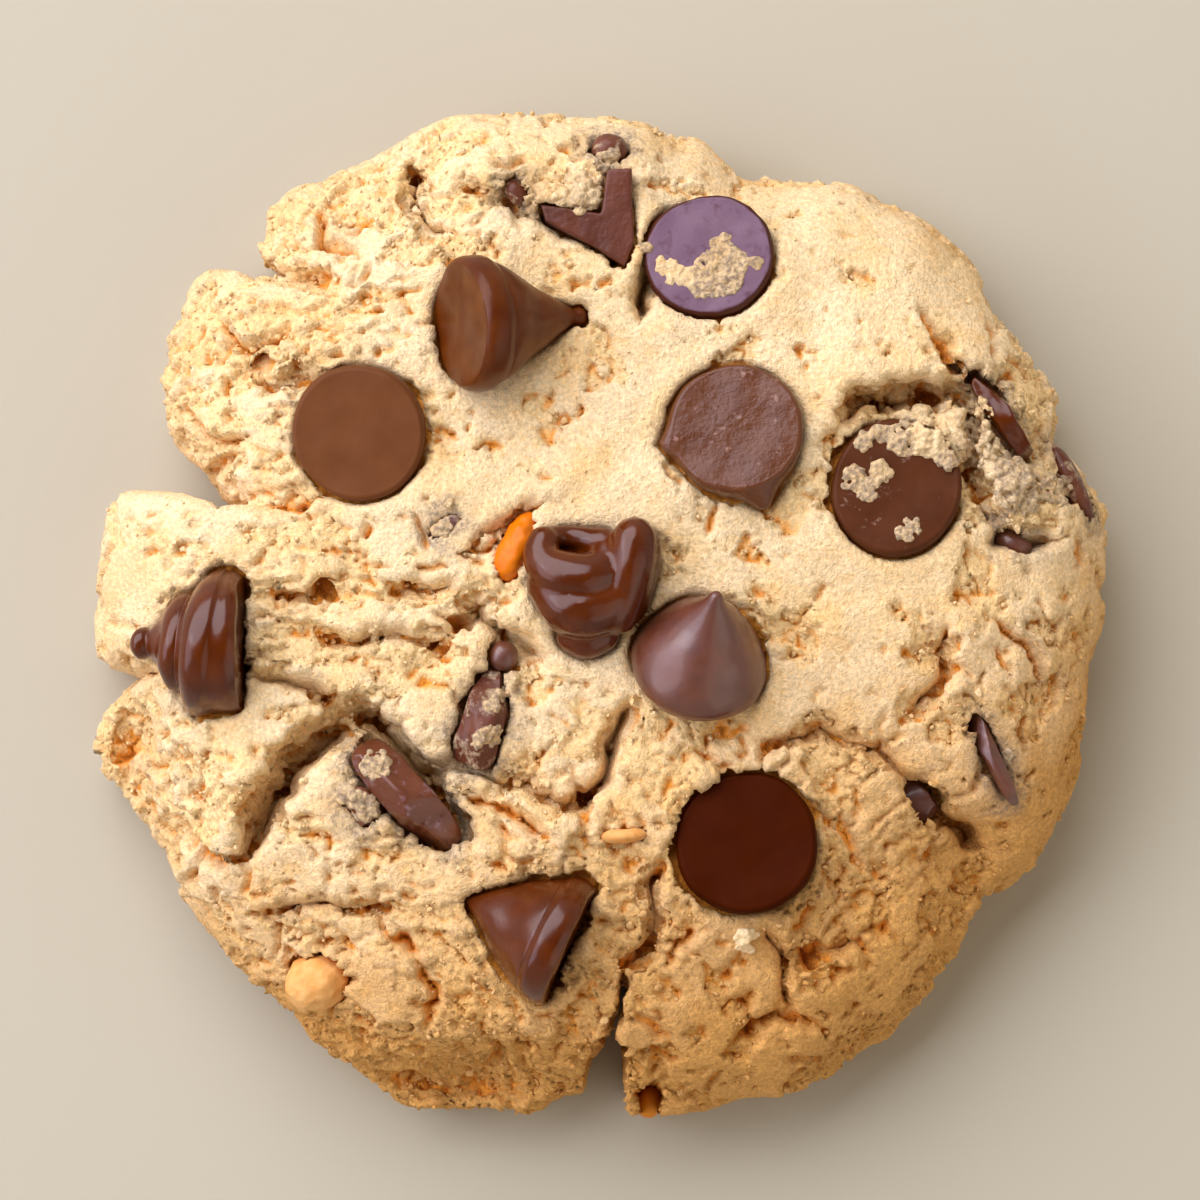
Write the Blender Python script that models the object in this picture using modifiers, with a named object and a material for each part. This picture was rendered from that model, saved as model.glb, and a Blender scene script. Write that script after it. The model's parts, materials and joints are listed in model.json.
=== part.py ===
"""A thick protein cookie: one round of cracked, lobed dough with chocolate chips baked into its top.

Metres, +Z up. The origin is the middle of the flat underside, and +Y is the cookie's far side as it
lies in front of a viewer. The dough is one solid. Every chip or sweet piece that shows is a solid of
its own, and sits in a pocket that follows its form with a small gap.
"""
import math

import bmesh
import bpy
import numpy as np
from mathutils import Vector, noise
from mathutils.bvhtree import BVHTree

# Driving dimensions
MEAN_RADIUS = 0.0374        # of the dough at its widest level
CROWN_HEIGHT = 0.0162       # of the dough's top above the underside
WAIST_HEIGHT = 0.0052       # the level where the dough is widest
FOOT_SHARE = 0.955          # foot radius as a share of the widest radius
GAP = 0.0003                # between a chip and its pocket
FOOT_DROP = 0.0006          # of the rough foot below the flat cut that makes the underside
FLANK_LUMP = 0.0007         # reach of the flank's lumps

# Fineness of the dough before and after it is thinned out
GRID_CELLS = 176            # along each side of the square that becomes the top
SIDE_RINGS = 14
KEPT_SHARE = 0.056          # of the fine faces

# Lobes and dents of the outline: direction in degrees, spread before and after it, reach
RIM_LOBES = [
    (12, 5, 4, 0.0010), (21, 3, 3, -0.0014), (48, 7, 5, 0.0010), (71, 8, 8, -0.0027),
    (81, 2.5, 2.5, -0.0009), (106, 8, 8, 0.0014), (128, 7, 2.5, 0.0022), (140, 3, 7, 0.0018),
    (163.5, 6, 1.8, -0.0080), (188, 1.6, 1.6, -0.0030), (197, 4, 4, 0.0013), (208, 3, 3, -0.0006),
    (246, 9, 9, 0.0019), (267, 3, 3, -0.0014), (294, 7, 6, 0.0010), (323, 6, 5, -0.0018),
    (352, 5, 5, -0.0008),
]
# Where the flank leans instead of standing steep: direction, spread, share
LEANING_FLANKS = [(-40, 34, 1.0), (5, 26, 0.55), (-118, 26, 0.75), (205, 14, 0.35)]

# Swells and dips of the top: x, y, radius along x, radius along y, height
SWELLS = [
    (-0.0262, -0.0145, 0.0050, 0.0050, 0.0014),
    (-0.0345, -0.0100, 0.0024, 0.0045, -0.0058),
    (-0.0310, 0.0195, 0.0060, 0.0050, -0.0012),
    (-0.0200, 0.0290, 0.0050, 0.0040, -0.0016),
    (-0.0080, 0.0310, 0.0050, 0.0040, 0.0012),
    (0.0130, 0.0310, 0.0060, 0.0028, -0.0022),
    (0.0000, 0.0080, 0.0130, 0.0100, 0.0009),
    (-0.0110, -0.0350, 0.0080, 0.0022, -0.0052),
    (0.0190, -0.0240, 0.0080, 0.0070, -0.0009),
    (0.0270, -0.0180, 0.0030, 0.0025, -0.0022),
    (0.0300, 0.0115, 0.0030, 0.0050, 0.0010),
    (-0.0040, -0.0170, 0.0036, 0.0022, 0.0011),
]

# Cracks: half width, depth, how much higher the left bank is, and the way they run
CRACKS = [
    (0.0008, 0.0026, 0.0006, [(-0.0262, -0.0052), (-0.0213, -0.0058), (-0.0186, -0.0080)]),
    (0.0015, 0.0060, -0.0010, [(-0.0186, -0.0086), (-0.0213, -0.0102), (-0.0240, -0.0135),
                               (-0.0262, -0.0180)]),
    (0.0012, 0.0062, 0.0004, [(-0.0180, -0.0070), (-0.0140, -0.0110), (-0.0095, -0.0172)]),
    (0.0009, 0.0034, 0.0006, [(-0.0106, -0.0012), (-0.0090, 0.0000), (-0.0072, -0.0018),
                              (-0.0042, -0.0040)]),
    (0.0006, 0.0018, 0.0004, [(-0.0239, 0.0008), (-0.0198, 0.0009)]),
    (0.0006, 0.0018, 0.0004, [(-0.0151, 0.0014), (-0.0103, 0.0016)]),
    (0.0006, 0.0020, 0.0005, [(-0.0202, -0.0021), (-0.0187, -0.0027), (-0.0148, -0.0020),
                              (-0.0105, -0.0035)]),
    (0.0009, 0.0040, 0.0006, [(0.0024, -0.0072), (0.0010, -0.0095), (0.0004, -0.0127),
                              (-0.0025, -0.0150)]),
    (0.0008, 0.0030, 0.0008, [(-0.0025, -0.0150), (-0.0062, -0.0132), (-0.0108, -0.0120),
                              (-0.0130, -0.0120)]),
    (0.0007, 0.0028, 0.0000, [(0.0040, -0.0190), (0.0037, -0.0250), (0.0018, -0.0262)]),
    (0.0007, 0.0024, -0.0006, [(0.0118, -0.0101), (0.0165, -0.0093), (0.0193, -0.0099),
                               (0.0223, -0.0122)]),
    (0.0011, 0.0044, -0.0008, [(0.0223, -0.0124), (0.0260, -0.0160), (0.0280, -0.0176)]),
    (0.0007, 0.0022, 0.0008, [(0.0119, -0.0237), (0.0137, -0.0263), (0.0140, -0.0297)]),
    (0.0006, 0.0018, -0.0008, [(0.0140, -0.0263), (0.0193, -0.0248)]),
    (0.0007, 0.0022, 0.0006, [(0.0253, -0.0018), (0.0256, -0.0047), (0.0230, -0.0080)]),
    (0.0011, 0.0042, 0.0016, [(0.0176, 0.0137), (0.0192, 0.0154), (0.0226, 0.0157),
                              (0.0259, 0.0165)]),
    (0.0008, 0.0030, 0.0006, [(0.0262, 0.0175), (0.0275, 0.0140), (0.0272, 0.0100),
                              (0.0300, 0.0046)]),
    (0.0008, 0.0030, 0.0000, [(0.0285, 0.0048), (0.0338, 0.0050)]),
    (0.0008, 0.0028, -0.0012, [(-0.0140, 0.0330), (-0.0141, 0.0304), (-0.0126, 0.0276),
                               (-0.0110, 0.0274)]),
    (0.0006, 0.0018, 0.0008, [(-0.0100, 0.0313), (-0.0062, 0.0298), (-0.0008, 0.0265)]),
    (0.0008, 0.0026, 0.0006, [(-0.0250, 0.0247), (-0.0195, 0.0243)]),
    (0.0007, 0.0022, 0.0006, [(-0.0255, 0.0185), (-0.0240, 0.0160), (-0.0215, 0.0175),
                              (-0.0190, 0.0160)]),
    (0.0005, 0.0018, 0.0003, [(-0.0095, 0.0047), (-0.0042, 0.0075)]),
    (0.0006, 0.0020, 0.0004, [(-0.0246, -0.0222), (-0.0200, -0.0216), (-0.0155, -0.0225)]),
    (0.0010, 0.0050, 0.0000, [(0.0030, 0.0212), (0.0034, 0.0244), (0.0042, 0.0262)]),
]

# Splits that go through the dough at its edge, each as the outline of what is missing
SPLITS = {
    "lower_split": [(0.0016, -0.0262), (0.0009, -0.0300), (-0.0008, -0.0340), (-0.0022, -0.0400),
                    (0.0026, -0.0400), (0.0019, -0.0350), (0.0017, -0.0310), (0.0023, -0.0280)],
    "upper_left_split": [(-0.0222, 0.0250), (-0.0245, 0.0262), (-0.0285, 0.0300), (-0.0315, 0.0300),
                         (-0.0292, 0.0258), (-0.0262, 0.0246)],
    "left_split": [(-0.0250, 0.0070), (-0.0280, 0.0088), (-0.0330, 0.0116), (-0.0330, 0.0088),
                   (-0.0285, 0.0072)],
}

# Chips that keep their turned form: x, y of the base's middle, height of that point above the dough
# around it, direction of the tip in degrees, its rise in degrees, radius, height, second radius's share
TURNED_CHIPS = {
    "chip_disc_left": (-0.0178, 0.0125, 0.0013, 40, -81, 0.00512, 0.0092, 0.97),
    "chip_disc_rough": (0.0099, 0.0129, 0.0015, 275, -80, 0.00505, 0.0092, 0.99),
    "chip_disc_bloomed": (0.0080, 0.0259, 0.0012, 285, -82, 0.00492, 0.0088, 0.95),
    "chip_disc_crumbed": (0.0218, 0.0087, 0.0008, 250, -85, 0.00485, 0.0088, 1.08),
    "chip_disc_glossy": (0.0107, -0.0174, 0.0007, 300, -84, 0.00530, 0.0092, 1.0),
    "chip_cone_top": (-0.0101, 0.0203, 0.0036, 7, -25, 0.00495, 0.0100, 1.0),
    "chip_cone_upright": (0.0071, -0.0050, -0.0010, 76, 52, 0.00510, 0.0090, 1.0),
    "chip_cone_lower": (-0.0022, -0.0250, 0.0000, 155, -4, 0.00495, 0.0085, 1.0),
    "chip_swirl_left": (-0.0263, -0.0027, -0.0004, 180, -4, 0.00545, 0.0082, 1.0),
}
# Share of the radius at shares of the height, from the tip down
SMOOTH_FORM = [(1.0, 0.0), (0.985, 0.09), (0.92, 0.20), (0.72, 0.42), (0.45, 0.74), (0.20, 0.97),
               (0.08, 0.985), (0.0, 0.91), (0.0, 0.0)]
TIERED_FORM = [(1.0, 0.0), (0.97, 0.22), (0.84, 0.25), (0.72, 0.40), (0.58, 0.64), (0.50, 0.68),
               (0.42, 0.90), (0.22, 1.0), (0.06, 0.96), (0.0, 0.88), (0.0, 0.0)]
TIERED_CHIPS = {"chip_swirl_left"}
TURN_STEPS = 16
# A chip that stuck tip down has no dough over its base: its pocket goes on upwards by this much
BASE_UP_RISE = -60
ROOM_OVER_BASE = 0.0030

# Flat-sided or half-buried pieces, each a stretched ball: x, y, height above the dough around it,
# direction of its length in degrees, length, width, thickness, taper towards the far end
BALL_PIECES = {
    "chip_broken_nub": (0.0007, 0.0341, 0.0002, 0, 0.0026, 0.0024, 0.0024, 0.0),
    "chip_broken_patch": (-0.0062, 0.0306, -0.0002, 120, 0.0020, 0.0014, 0.0016, 0.0),
    "chip_edge_curl": (0.0298, 0.0141, -0.0002, -55, 0.0078, 0.0019, 0.0036, 0.2),
    "chip_rim": (0.0352, 0.0096, -0.0002, -62, 0.0062, 0.0019, 0.0034, 0.2),
    "chip_in_crack": (0.0306, 0.0048, -0.0008, -30, 0.0031, 0.0018, 0.0028, 0.0),
    "chip_fragment_nub": (-0.0071, -0.0037, 0.0001, 80, 0.0022, 0.0021, 0.0024, 0.0),
    "chip_fragment": (-0.0086, -0.0084, -0.0003, 73, 0.0074, 0.0040, 0.0040, 0.45),
    "chip_diagonal": (-0.0142, -0.0138, 0.0010, -49, 0.0100, 0.0032, 0.0060, -0.15),
    "chip_diagonal_stub": (-0.0173, -0.0148, -0.0004, -40, 0.0032, 0.0024, 0.0032, 0.0),
    "chip_sliver": (0.0291, -0.0112, -0.0001, -64, 0.0080, 0.0017, 0.0034, 0.5),
    "chip_in_hollow": (0.0236, -0.0141, -0.0012, -50, 0.0036, 0.0022, 0.0030, 0.0),
    "chip_buried": (-0.0113, 0.0058, -0.0004, 35, 0.0026, 0.0014, 0.0018, 0.0),
    "butterscotch_piece": (-0.0062, 0.0043, -0.0004, 68, 0.0054, 0.0026, 0.0036, 0.2),
    "butterscotch_foot": (0.0037, -0.0366, 0.0, 80, 0.0024, 0.0018, 0.0026, 0.0),
    "peanut_lump": (-0.0209, -0.0276, 0.0001, 10, 0.0047, 0.0041, 0.0036, 0.0),
    "peanut_sliver": (0.0017, -0.0169, 0.0002, 3, 0.0034, 0.0010, 0.0018, 0.0),
}
FOOT_PIECE_HEIGHT = 0.0042  # of the middle of the piece in the lower split's edge

# The broken chip: its outline as it lies, corner by corner, and its thickness
BROKEN_OUTLINE = [(0.0023, 0.0322), (0.0005, 0.0322), (0.0001, 0.0289), (-0.0044, 0.0296),
                  (-0.0040, 0.0284), (0.0000, 0.0262), (0.0018, 0.0250), (0.0025, 0.0268)]
BROKEN_THICKNESS = 0.0028

# The melted chip shaped like a heart: x, y, height above the dough, direction, length, width, depth
HEART_LOBES = [
    (-0.0026, 0.0024, 0.0012, 55, 0.0070, 0.0060, 0.0062),
    (0.0023, 0.0030, 0.0013, 68, 0.0074, 0.0046, 0.0060),
    (-0.0006, 0.0008, 0.0010, 10, 0.0088, 0.0070, 0.0062),
    (-0.0006, -0.0014, 0.0006, 90, 0.0060, 0.0050, 0.0052),
]

# Colours (linear), roughness
DOUGH_LOOK = ((0.70, 0.47, 0.22), 0.85)
CHOCOLATE_LOOK = ((0.070, 0.022, 0.008), 0.35)
MILK_LOOK = ((0.160, 0.065, 0.028), 0.45)
BUTTERSCOTCH_LOOK = ((0.66, 0.24, 0.020), 0.45)
PEANUT_LOOK = ((0.80, 0.46, 0.18), 0.7)
MILK_CHIPS = {"chip_disc_left", "chip_disc_rough", "chip_broken", "chip_cone_top"}


def clear_scene():
    for obj in list(bpy.data.objects):
        bpy.data.objects.remove(obj, do_unlink=True)


def new_collection(name):
    made = bpy.data.collections.new(name)
    bpy.context.scene.collection.children.link(made)
    return made


def bell(angle, at, before, after):
    """1 in the direction at, falling off with its own spread on either side, all in degrees."""
    off = (angle - at + 180.0) % 360.0 - 180.0
    spread = np.where(off < 0.0, before, after)
    return np.exp(-((off / spread) ** 2))


def rim_radius(angle):
    """Radius of the dough's widest level in each direction, in degrees."""
    radius = np.full(np.shape(angle), MEAN_RADIUS)
    for at, before, after, reach in RIM_LOBES:
        radius = radius + reach * bell(angle, at, before, after)
    return radius


def dome_profile(fullness):
    """Radius and height shares at even steps of arc, from the crown's middle to the widest level."""
    turn = np.linspace(0.0, math.pi / 2.0, 400)
    radius = np.sin(turn) ** (2.0 / fullness)
    height = np.cos(turn)
    steps = np.hypot(np.diff(radius * MEAN_RADIUS), np.diff(height * (CROWN_HEIGHT - WAIST_HEIGHT)))
    arc = np.concatenate([[0.0], np.cumsum(steps)])
    return arc / arc[-1], radius, height


def leaning_share(angle):
    share = np.zeros(np.shape(angle))
    for at, spread, most in LEANING_FLANKS:
        share = np.maximum(share, most * bell(angle, at, spread, spread))
    return share


def ragged(x, y, size, seed):
    """Smooth noise from -1 to 1, whose lumps are about size across."""
    lumps = [noise.noise(Vector((a / size, b / size, seed))) for a, b in zip(x, y)]
    return np.array(lumps)


def distance_to_route(x, y, route):
    """Distance to a broken line, the side it lies on (left is positive), and the way along it, 0 to 1."""
    best = np.full(len(x), 1.0)
    side = np.ones(len(x))
    along = np.zeros(len(x))
    for index, (start, end) in enumerate(zip(route[:-1], route[1:])):
        run = np.subtract(end, start)
        share = ((x - start[0]) * run[0] + (y - start[1]) * run[1]) / (run @ run)
        share = np.clip(share, 0.0, 1.0)
        dx = x - start[0] - share * run[0]
        dy = y - start[1] - share * run[1]
        away = np.hypot(dx, dy)
        nearer = away < best
        best = np.where(nearer, away, best)
        side = np.where(nearer, np.sign(run[0] * dy - run[1] * dx), side)
        along = np.where(nearer, (index + share) / (len(route) - 1), along)
    return best, side, along


def relief(x, y):
    """Height to add to the smooth dome: swells, cracks with a raised bank, and crumb."""
    height = 0.00055 * ragged(x, y, 0.0110, 3.0) + 0.00030 * ragged(x, y, 0.0035, 7.0)
    for cx, cy, rx, ry, rise in SWELLS:
        height += rise * np.exp(-(((x - cx) / rx) ** 2) - ((y - cy) / ry) ** 2)
    wander_x = x + 0.0006 * ragged(x, y, 0.0022, 21.0)
    wander_y = y + 0.0006 * ragged(x, y, 0.0022, 34.0)
    for half_width, depth, bank, route in CRACKS:
        away, side, along = distance_to_route(wander_x, wander_y, route)
        taper = np.clip(5.0 * np.minimum(along, 1.0 - along) + 0.45, 0.0, 1.0)
        cut = np.clip(1.0 - away / (half_width * (0.5 + 0.9 * taper)), 0.0, 1.0)
        height -= depth * taper * cut ** 0.7
        height += bank * side * np.exp(-away / 0.0028) * taper
    return height


def disc_from_square(u, v):
    """Concentric map of the square's points to ring share and direction in degrees."""
    ring = np.maximum(np.abs(u), np.abs(v))
    safe = np.where(ring == 0.0, 1.0, ring)
    east = 45.0 * v / safe
    north = 90.0 - 45.0 * u / safe
    west = 180.0 - 45.0 * v / safe
    south = 270.0 + 45.0 * u / safe
    angle = np.where(np.abs(u) >= np.abs(v), np.where(u > 0, east, west), np.where(v > 0, north, south))
    return ring, angle


def dough_top(ring, angle):
    """Place of each point of the top, which runs from the crown's middle to the widest level."""
    lean = leaning_share(angle)
    arc, radius, height = dome_profile(6.5)
    arc_leaning, radius_leaning, height_leaning = dome_profile(3.4)
    share = (1 - lean) * np.interp(ring, arc, radius) + lean * np.interp(ring, arc_leaning, radius_leaning)
    rise = (1 - lean) * np.interp(ring, arc, height) + lean * np.interp(ring, arc_leaning, height_leaning)
    turn = np.radians(angle)
    reach = rim_radius(angle) * share
    x = reach * np.cos(turn)
    y = reach * np.sin(turn)
    z = WAIST_HEIGHT + (CROWN_HEIGHT - WAIST_HEIGHT) * rise
    z += relief(x, y) * np.clip((z - WAIST_HEIGHT) / 0.004, 0.0, 1.0)
    return x, y, z


def flank_crags(points):
    """Moves each point of the flank in or out by rough noise, most at middle height."""
    moved = []
    for x, y, z in points:
        lump = noise.noise(Vector((x / 0.0045, y / 0.0045, z / 0.0030)))
        grow = 1.0 + FLANK_LUMP / MEAN_RADIUS * lump
        moved.append((x * grow, y * grow, z))
    return moved


def build_dough(collection):
    """A square grid bent into the dome, its edge drawn down in rings to a flat foot, and thinned out."""
    form = bmesh.new()
    bmesh.ops.create_grid(form, x_segments=GRID_CELLS, y_segments=GRID_CELLS, size=1.0)
    corners = np.array([v.co[:2] for v in form.verts])
    ring, angle = disc_from_square(corners[:, 0], corners[:, 1])
    x, y, z = dough_top(ring, angle)
    places = np.stack([x, y, z], axis=1)
    edge_share = np.clip((ring - 0.80) / 0.15, 0.0, 1.0)
    cragged = np.array(flank_crags(places))
    places = places + edge_share[:, None] * (cragged - places)
    for vertex, place in zip(form.verts, places):
        vertex.co = place
    rim = [e for e in form.edges if e.is_boundary]
    for step in range(1, SIDE_RINGS + 1):
        fall = step / SIDE_RINGS
        drawn = bmesh.ops.extrude_edge_only(form, edges=rim)["geom"]
        rim = [g for g in drawn if isinstance(g, bmesh.types.BMEdge)]
        ring_verts = [g for g in drawn if isinstance(g, bmesh.types.BMVert)]
        before = 1.0 - (1.0 - FOOT_SHARE) * ((step - 1) / SIDE_RINGS) ** 2.5
        share = (1.0 - (1.0 - FOOT_SHARE) * fall ** 2.5) / before
        for vertex in ring_verts:
            vertex.co.x *= share
            vertex.co.y *= share
            vertex.co.z = WAIST_HEIGHT - (WAIST_HEIGHT + FOOT_DROP) * fall
    for vertex in form.verts:
        if vertex.co.z < WAIST_HEIGHT:
            grow = 1.0 + FLANK_LUMP / MEAN_RADIUS * noise.noise(vertex.co / 0.0040)
            vertex.co.x *= grow
            vertex.co.y *= grow
    bmesh.ops.contextual_create(form, geom=rim)
    form.normal_update()
    bmesh.ops.recalc_face_normals(form, faces=form.faces)
    mesh = bpy.data.meshes.new("dough")
    form.to_mesh(mesh)
    form.free()
    dough = bpy.data.objects.new("dough", mesh)
    collection.objects.link(dough)
    thin = dough.modifiers.new("thin", "DECIMATE")
    thin.ratio = KEPT_SHARE
    return dough


def surface_below(tree, x, y):
    """Height of the dough's surface at a place."""
    hit = tree.ray_cast(Vector((x, y, 1.0)), Vector((0.0, 0.0, -1.0)))[0]
    return WAIST_HEIGHT if hit is None else hit.z


def mean_surface(tree, x, y, reach=0.0035):
    """Mean height of the dough around a place."""
    ways = [(0.0, 0.0)] + [(reach * math.cos(t), reach * math.sin(t)) for t in np.radians(range(0, 360, 45))]
    return sum(surface_below(tree, x + dx, y + dy) for dx, dy in ways) / len(ways)


def set_look(obj, name, look):
    """Gives the object a plain material of the look's colour and roughness."""
    material = bpy.data.materials.get(name) or bpy.data.materials.new(name)
    material.use_nodes = True
    shader = material.node_tree.nodes["Principled BSDF"]
    colour, roughness = look
    shader.inputs["Base Color"].default_value = (*colour, 1.0)
    shader.inputs["Roughness"].default_value = roughness
    shader.inputs["Metallic"].default_value = 0.0
    obj.data.materials.append(material)


def turned_mesh(name, radius, height, form, grown, room):
    """A chip's half outline as a mesh of edges, tip at the top, grown by the gap for a pocket. The room
    is what the pocket clears beyond the base."""
    mesh = bpy.data.meshes.new(name)
    points = []
    for level, share in form:
        z = height * level
        r = radius * share
        z += grown if level > 0.9 else (-grown - room if level == 0.0 else 0.0)
        points.append((r + (grown if share > 0.0 else 0.0), 0.0, z))
    mesh.from_pydata(points, [(i, i + 1) for i in range(len(points) - 1)], [])
    return mesh


def turned_chip(name, place, form, collection, grown=0.0):
    """A chip turned about its axis by a Screw modifier, tipped over to its direction and rise."""
    bx, by, bz, direction, rise, radius, height, second = place
    room = ROOM_OVER_BASE if grown > 0.0 and rise < BASE_UP_RISE else 0.0
    obj = bpy.data.objects.new(name, turned_mesh(name, radius, height, form, grown, room))
    collection.objects.link(obj)
    screw = obj.modifiers.new("turn", "SCREW")
    screw.steps = TURN_STEPS
    screw.render_steps = TURN_STEPS
    screw.use_merge_vertices = True
    screw.merge_threshold = 0.00002
    obj.rotation_euler = (0.0, math.radians(90.0 - rise), math.radians(direction))
    obj.scale = (second, 1.0, 1.0)
    obj.location = (bx, by, bz)
    return obj


def ball_mesh(name, length, width, depth, taper, grown, segments=10, rings=6):
    """A stretched ball, narrower towards its far end."""
    form = bmesh.new()
    bmesh.ops.create_uvsphere(form, u_segments=segments, v_segments=rings, radius=0.5)
    for vertex in form.verts:
        narrowing = 1.0 - taper * (vertex.co.z + 0.5)
        x = vertex.co.x * (width + 2.0 * grown) * narrowing
        y = vertex.co.y * (depth + 2.0 * grown) * narrowing
        vertex.co = (vertex.co.z * (length + 2.0 * grown), x, y)
    form.normal_update()
    mesh = bpy.data.meshes.new(name)
    form.to_mesh(mesh)
    form.free()
    return mesh


def ball_piece(name, place, z, collection, grown=0.0):
    x, y, _, direction, length, width, depth, taper = place
    obj = bpy.data.objects.new(name, ball_mesh(name, length, width, depth, taper, grown))
    collection.objects.link(obj)
    obj.location = (x, y, z)
    obj.rotation_euler = (0.0, 0.0, math.radians(direction))
    return obj


def plate(name, outline, low, high, grown, collection):
    """A flat outline as a filled 2D curve, extruded between two heights, turned into a mesh."""
    curve = bpy.data.curves.new(name, "CURVE")
    curve.dimensions = "2D"
    curve.fill_mode = "BOTH"
    curve.extrude = (high - low) / 2.0 + grown
    curve.offset = grown
    spline = curve.splines.new("POLY")
    spline.points.add(len(outline) - 1)
    for point, (x, y) in zip(spline.points, outline):
        point.co = (x, y, 0.0, 1.0)
    spline.use_cyclic_u = True
    drawn = bpy.data.objects.new(name + "_outline", curve)
    drawn.location = (0.0, 0.0, (high + low) / 2.0)
    collection.objects.link(drawn)
    bpy.context.view_layer.update()
    seen = drawn.evaluated_get(bpy.context.evaluated_depsgraph_get())
    mesh = bpy.data.meshes.new_from_object(seen)
    solid = bmesh.new()
    solid.from_mesh(mesh)
    bmesh.ops.remove_doubles(solid, verts=solid.verts, dist=0.00001)
    bmesh.ops.recalc_face_normals(solid, faces=solid.faces)
    solid.to_mesh(mesh)
    solid.free()
    obj = bpy.data.objects.new(name, mesh)
    obj.matrix_world = drawn.matrix_world.copy()
    collection.objects.link(obj)
    bpy.data.objects.remove(drawn, do_unlink=True)
    bpy.data.curves.remove(curve)
    return obj


def joined(name, pieces, collection, solver="EXACT"):
    """One closed body from overlapping pieces, by a Boolean union on their collection."""
    first, rest = pieces[0], pieces[1:]
    group = bpy.data.collections.new(name + "_lobes")
    bpy.context.scene.collection.children.link(group)
    for piece in rest:
        group.objects.link(piece)
        collection.objects.unlink(piece)
    union = first.modifiers.new("join", "BOOLEAN")
    union.operation = "UNION"
    union.operand_type = "COLLECTION"
    union.collection = group
    union.solver = solver
    bpy.context.view_layer.update()
    seen = first.evaluated_get(bpy.context.evaluated_depsgraph_get())
    mesh = bpy.data.meshes.new_from_object(seen)
    mesh.name = name
    obj = bpy.data.objects.new(name, mesh)
    obj.matrix_world = first.matrix_world.copy()
    collection.objects.link(obj)
    for piece in pieces:
        bpy.data.objects.remove(piece, do_unlink=True)
    bpy.data.collections.remove(group)
    return obj


def heart_chip(name, level, collection, grown=0.0):
    """The melted chip: four overlapping lobes joined into one body."""
    lobes = []
    for index, (x, y, up, direction, length, width, depth) in enumerate(HEART_LOBES):
        lobe = bpy.data.objects.new(f"{name}_{index}",
                                    ball_mesh(name, length, width, depth, 0.0, grown))
        collection.objects.link(lobe)
        lobe.location = (x, y, level + up)
        lobe.rotation_euler = (0.0, 0.0, math.radians(direction))
        lobes.append(lobe)
    return joined(name, lobes, collection)


def underside_cutter(collection):
    """A slab below the level where the cookie lies, so that its underside is one flat face."""
    form = bmesh.new()
    bmesh.ops.create_cube(form, size=1.0)
    bmesh.ops.scale(form, verts=form.verts, vec=(4.0 * MEAN_RADIUS, 4.0 * MEAN_RADIUS, 0.01))
    mesh = bpy.data.meshes.new("underside")
    form.to_mesh(mesh)
    form.free()
    slab = bpy.data.objects.new("underside", mesh)
    slab.location = (0.0, 0.0, -0.005)
    collection.objects.link(slab)
    return slab


def hide_cutter(obj):
    obj.display_type = "WIRE"
    obj.hide_render = True


def cut_from(target, group):
    cut = target.modifiers.new(group.name, "BOOLEAN")
    cut.operation = "DIFFERENCE"
    cut.operand_type = "COLLECTION"
    cut.collection = group
    cut.solver = "EXACT"


def chip_look(name):
    if name.startswith("butterscotch"):
        return "butterscotch", BUTTERSCOTCH_LOOK
    if name.startswith("peanut"):
        return "peanut", PEANUT_LOOK
    if name in MILK_CHIPS:
        return "milk_chocolate", MILK_LOOK
    return "dark_chocolate", CHOCOLATE_LOOK


def main():
    clear_scene()
    cookie = new_collection("protein_cookie")
    cutters = new_collection("cutters")

    dough = build_dough(cookie)
    set_look(dough, "dough", DOUGH_LOOK)
    bpy.context.view_layer.update()
    tree = BVHTree.FromObject(dough, bpy.context.evaluated_depsgraph_get())

    hide_cutter(underside_cutter(cutters))
    for name, outline in SPLITS.items():
        hide_cutter(plate(name, outline, -0.001, 0.030, 0.0, cutters))

    for name, place in TURNED_CHIPS.items():
        form = TIERED_FORM if name in TIERED_CHIPS else SMOOTH_FORM
        level = mean_surface(tree, place[0], place[1]) + place[2]
        settled = (place[0], place[1], level, *place[3:])
        set_look(turned_chip(name, settled, form, cookie), *chip_look(name))
        hide_cutter(turned_chip(name + "_pocket", settled, form, cutters, GAP))

    for name, place in BALL_PIECES.items():
        level = mean_surface(tree, place[0], place[1], 0.0015) + place[2]
        if name == "butterscotch_foot":
            level = FOOT_PIECE_HEIGHT
        set_look(ball_piece(name, place, level, cookie), *chip_look(name))
        hide_cutter(ball_piece(name + "_pocket", place, level, cutters, GAP))

    level = mean_surface(tree, 0.0005, 0.0285, 0.0020)
    low, high = level - BROKEN_THICKNESS * 0.8, level + BROKEN_THICKNESS * 0.2
    set_look(plate("chip_broken", BROKEN_OUTLINE, low, high, 0.0, cookie), *chip_look("chip_broken"))
    hide_cutter(plate("chip_broken_pocket", BROKEN_OUTLINE, low, high, GAP, cutters))

    level = mean_surface(tree, -0.0007, 0.0013)
    set_look(heart_chip("chip_heart", level, cookie), *chip_look("chip_heart"))
    hide_cutter(heart_chip("chip_heart_pocket", level, cutters, GAP))

    cut_from(dough, cutters)


main()
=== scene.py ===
# %% [markdown]
# # A cracked chocolate-chip protein cookie
#
# A thick home-baked cookie is three things at once: a dense body that has slumped and split while it
# baked, a dry crust that tore into plates and crumbs as the body swelled, and chocolate chips that
# melted a little and set again. This lesson makes them in that order, in metres, with +Z up.
#
# The first cell loads a finished model of the cookie's solids. Nothing here moves or resizes them:
# they say where each chip sits and how big it is, and the fine pieces made below stand in for them.

import json
import math

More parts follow.
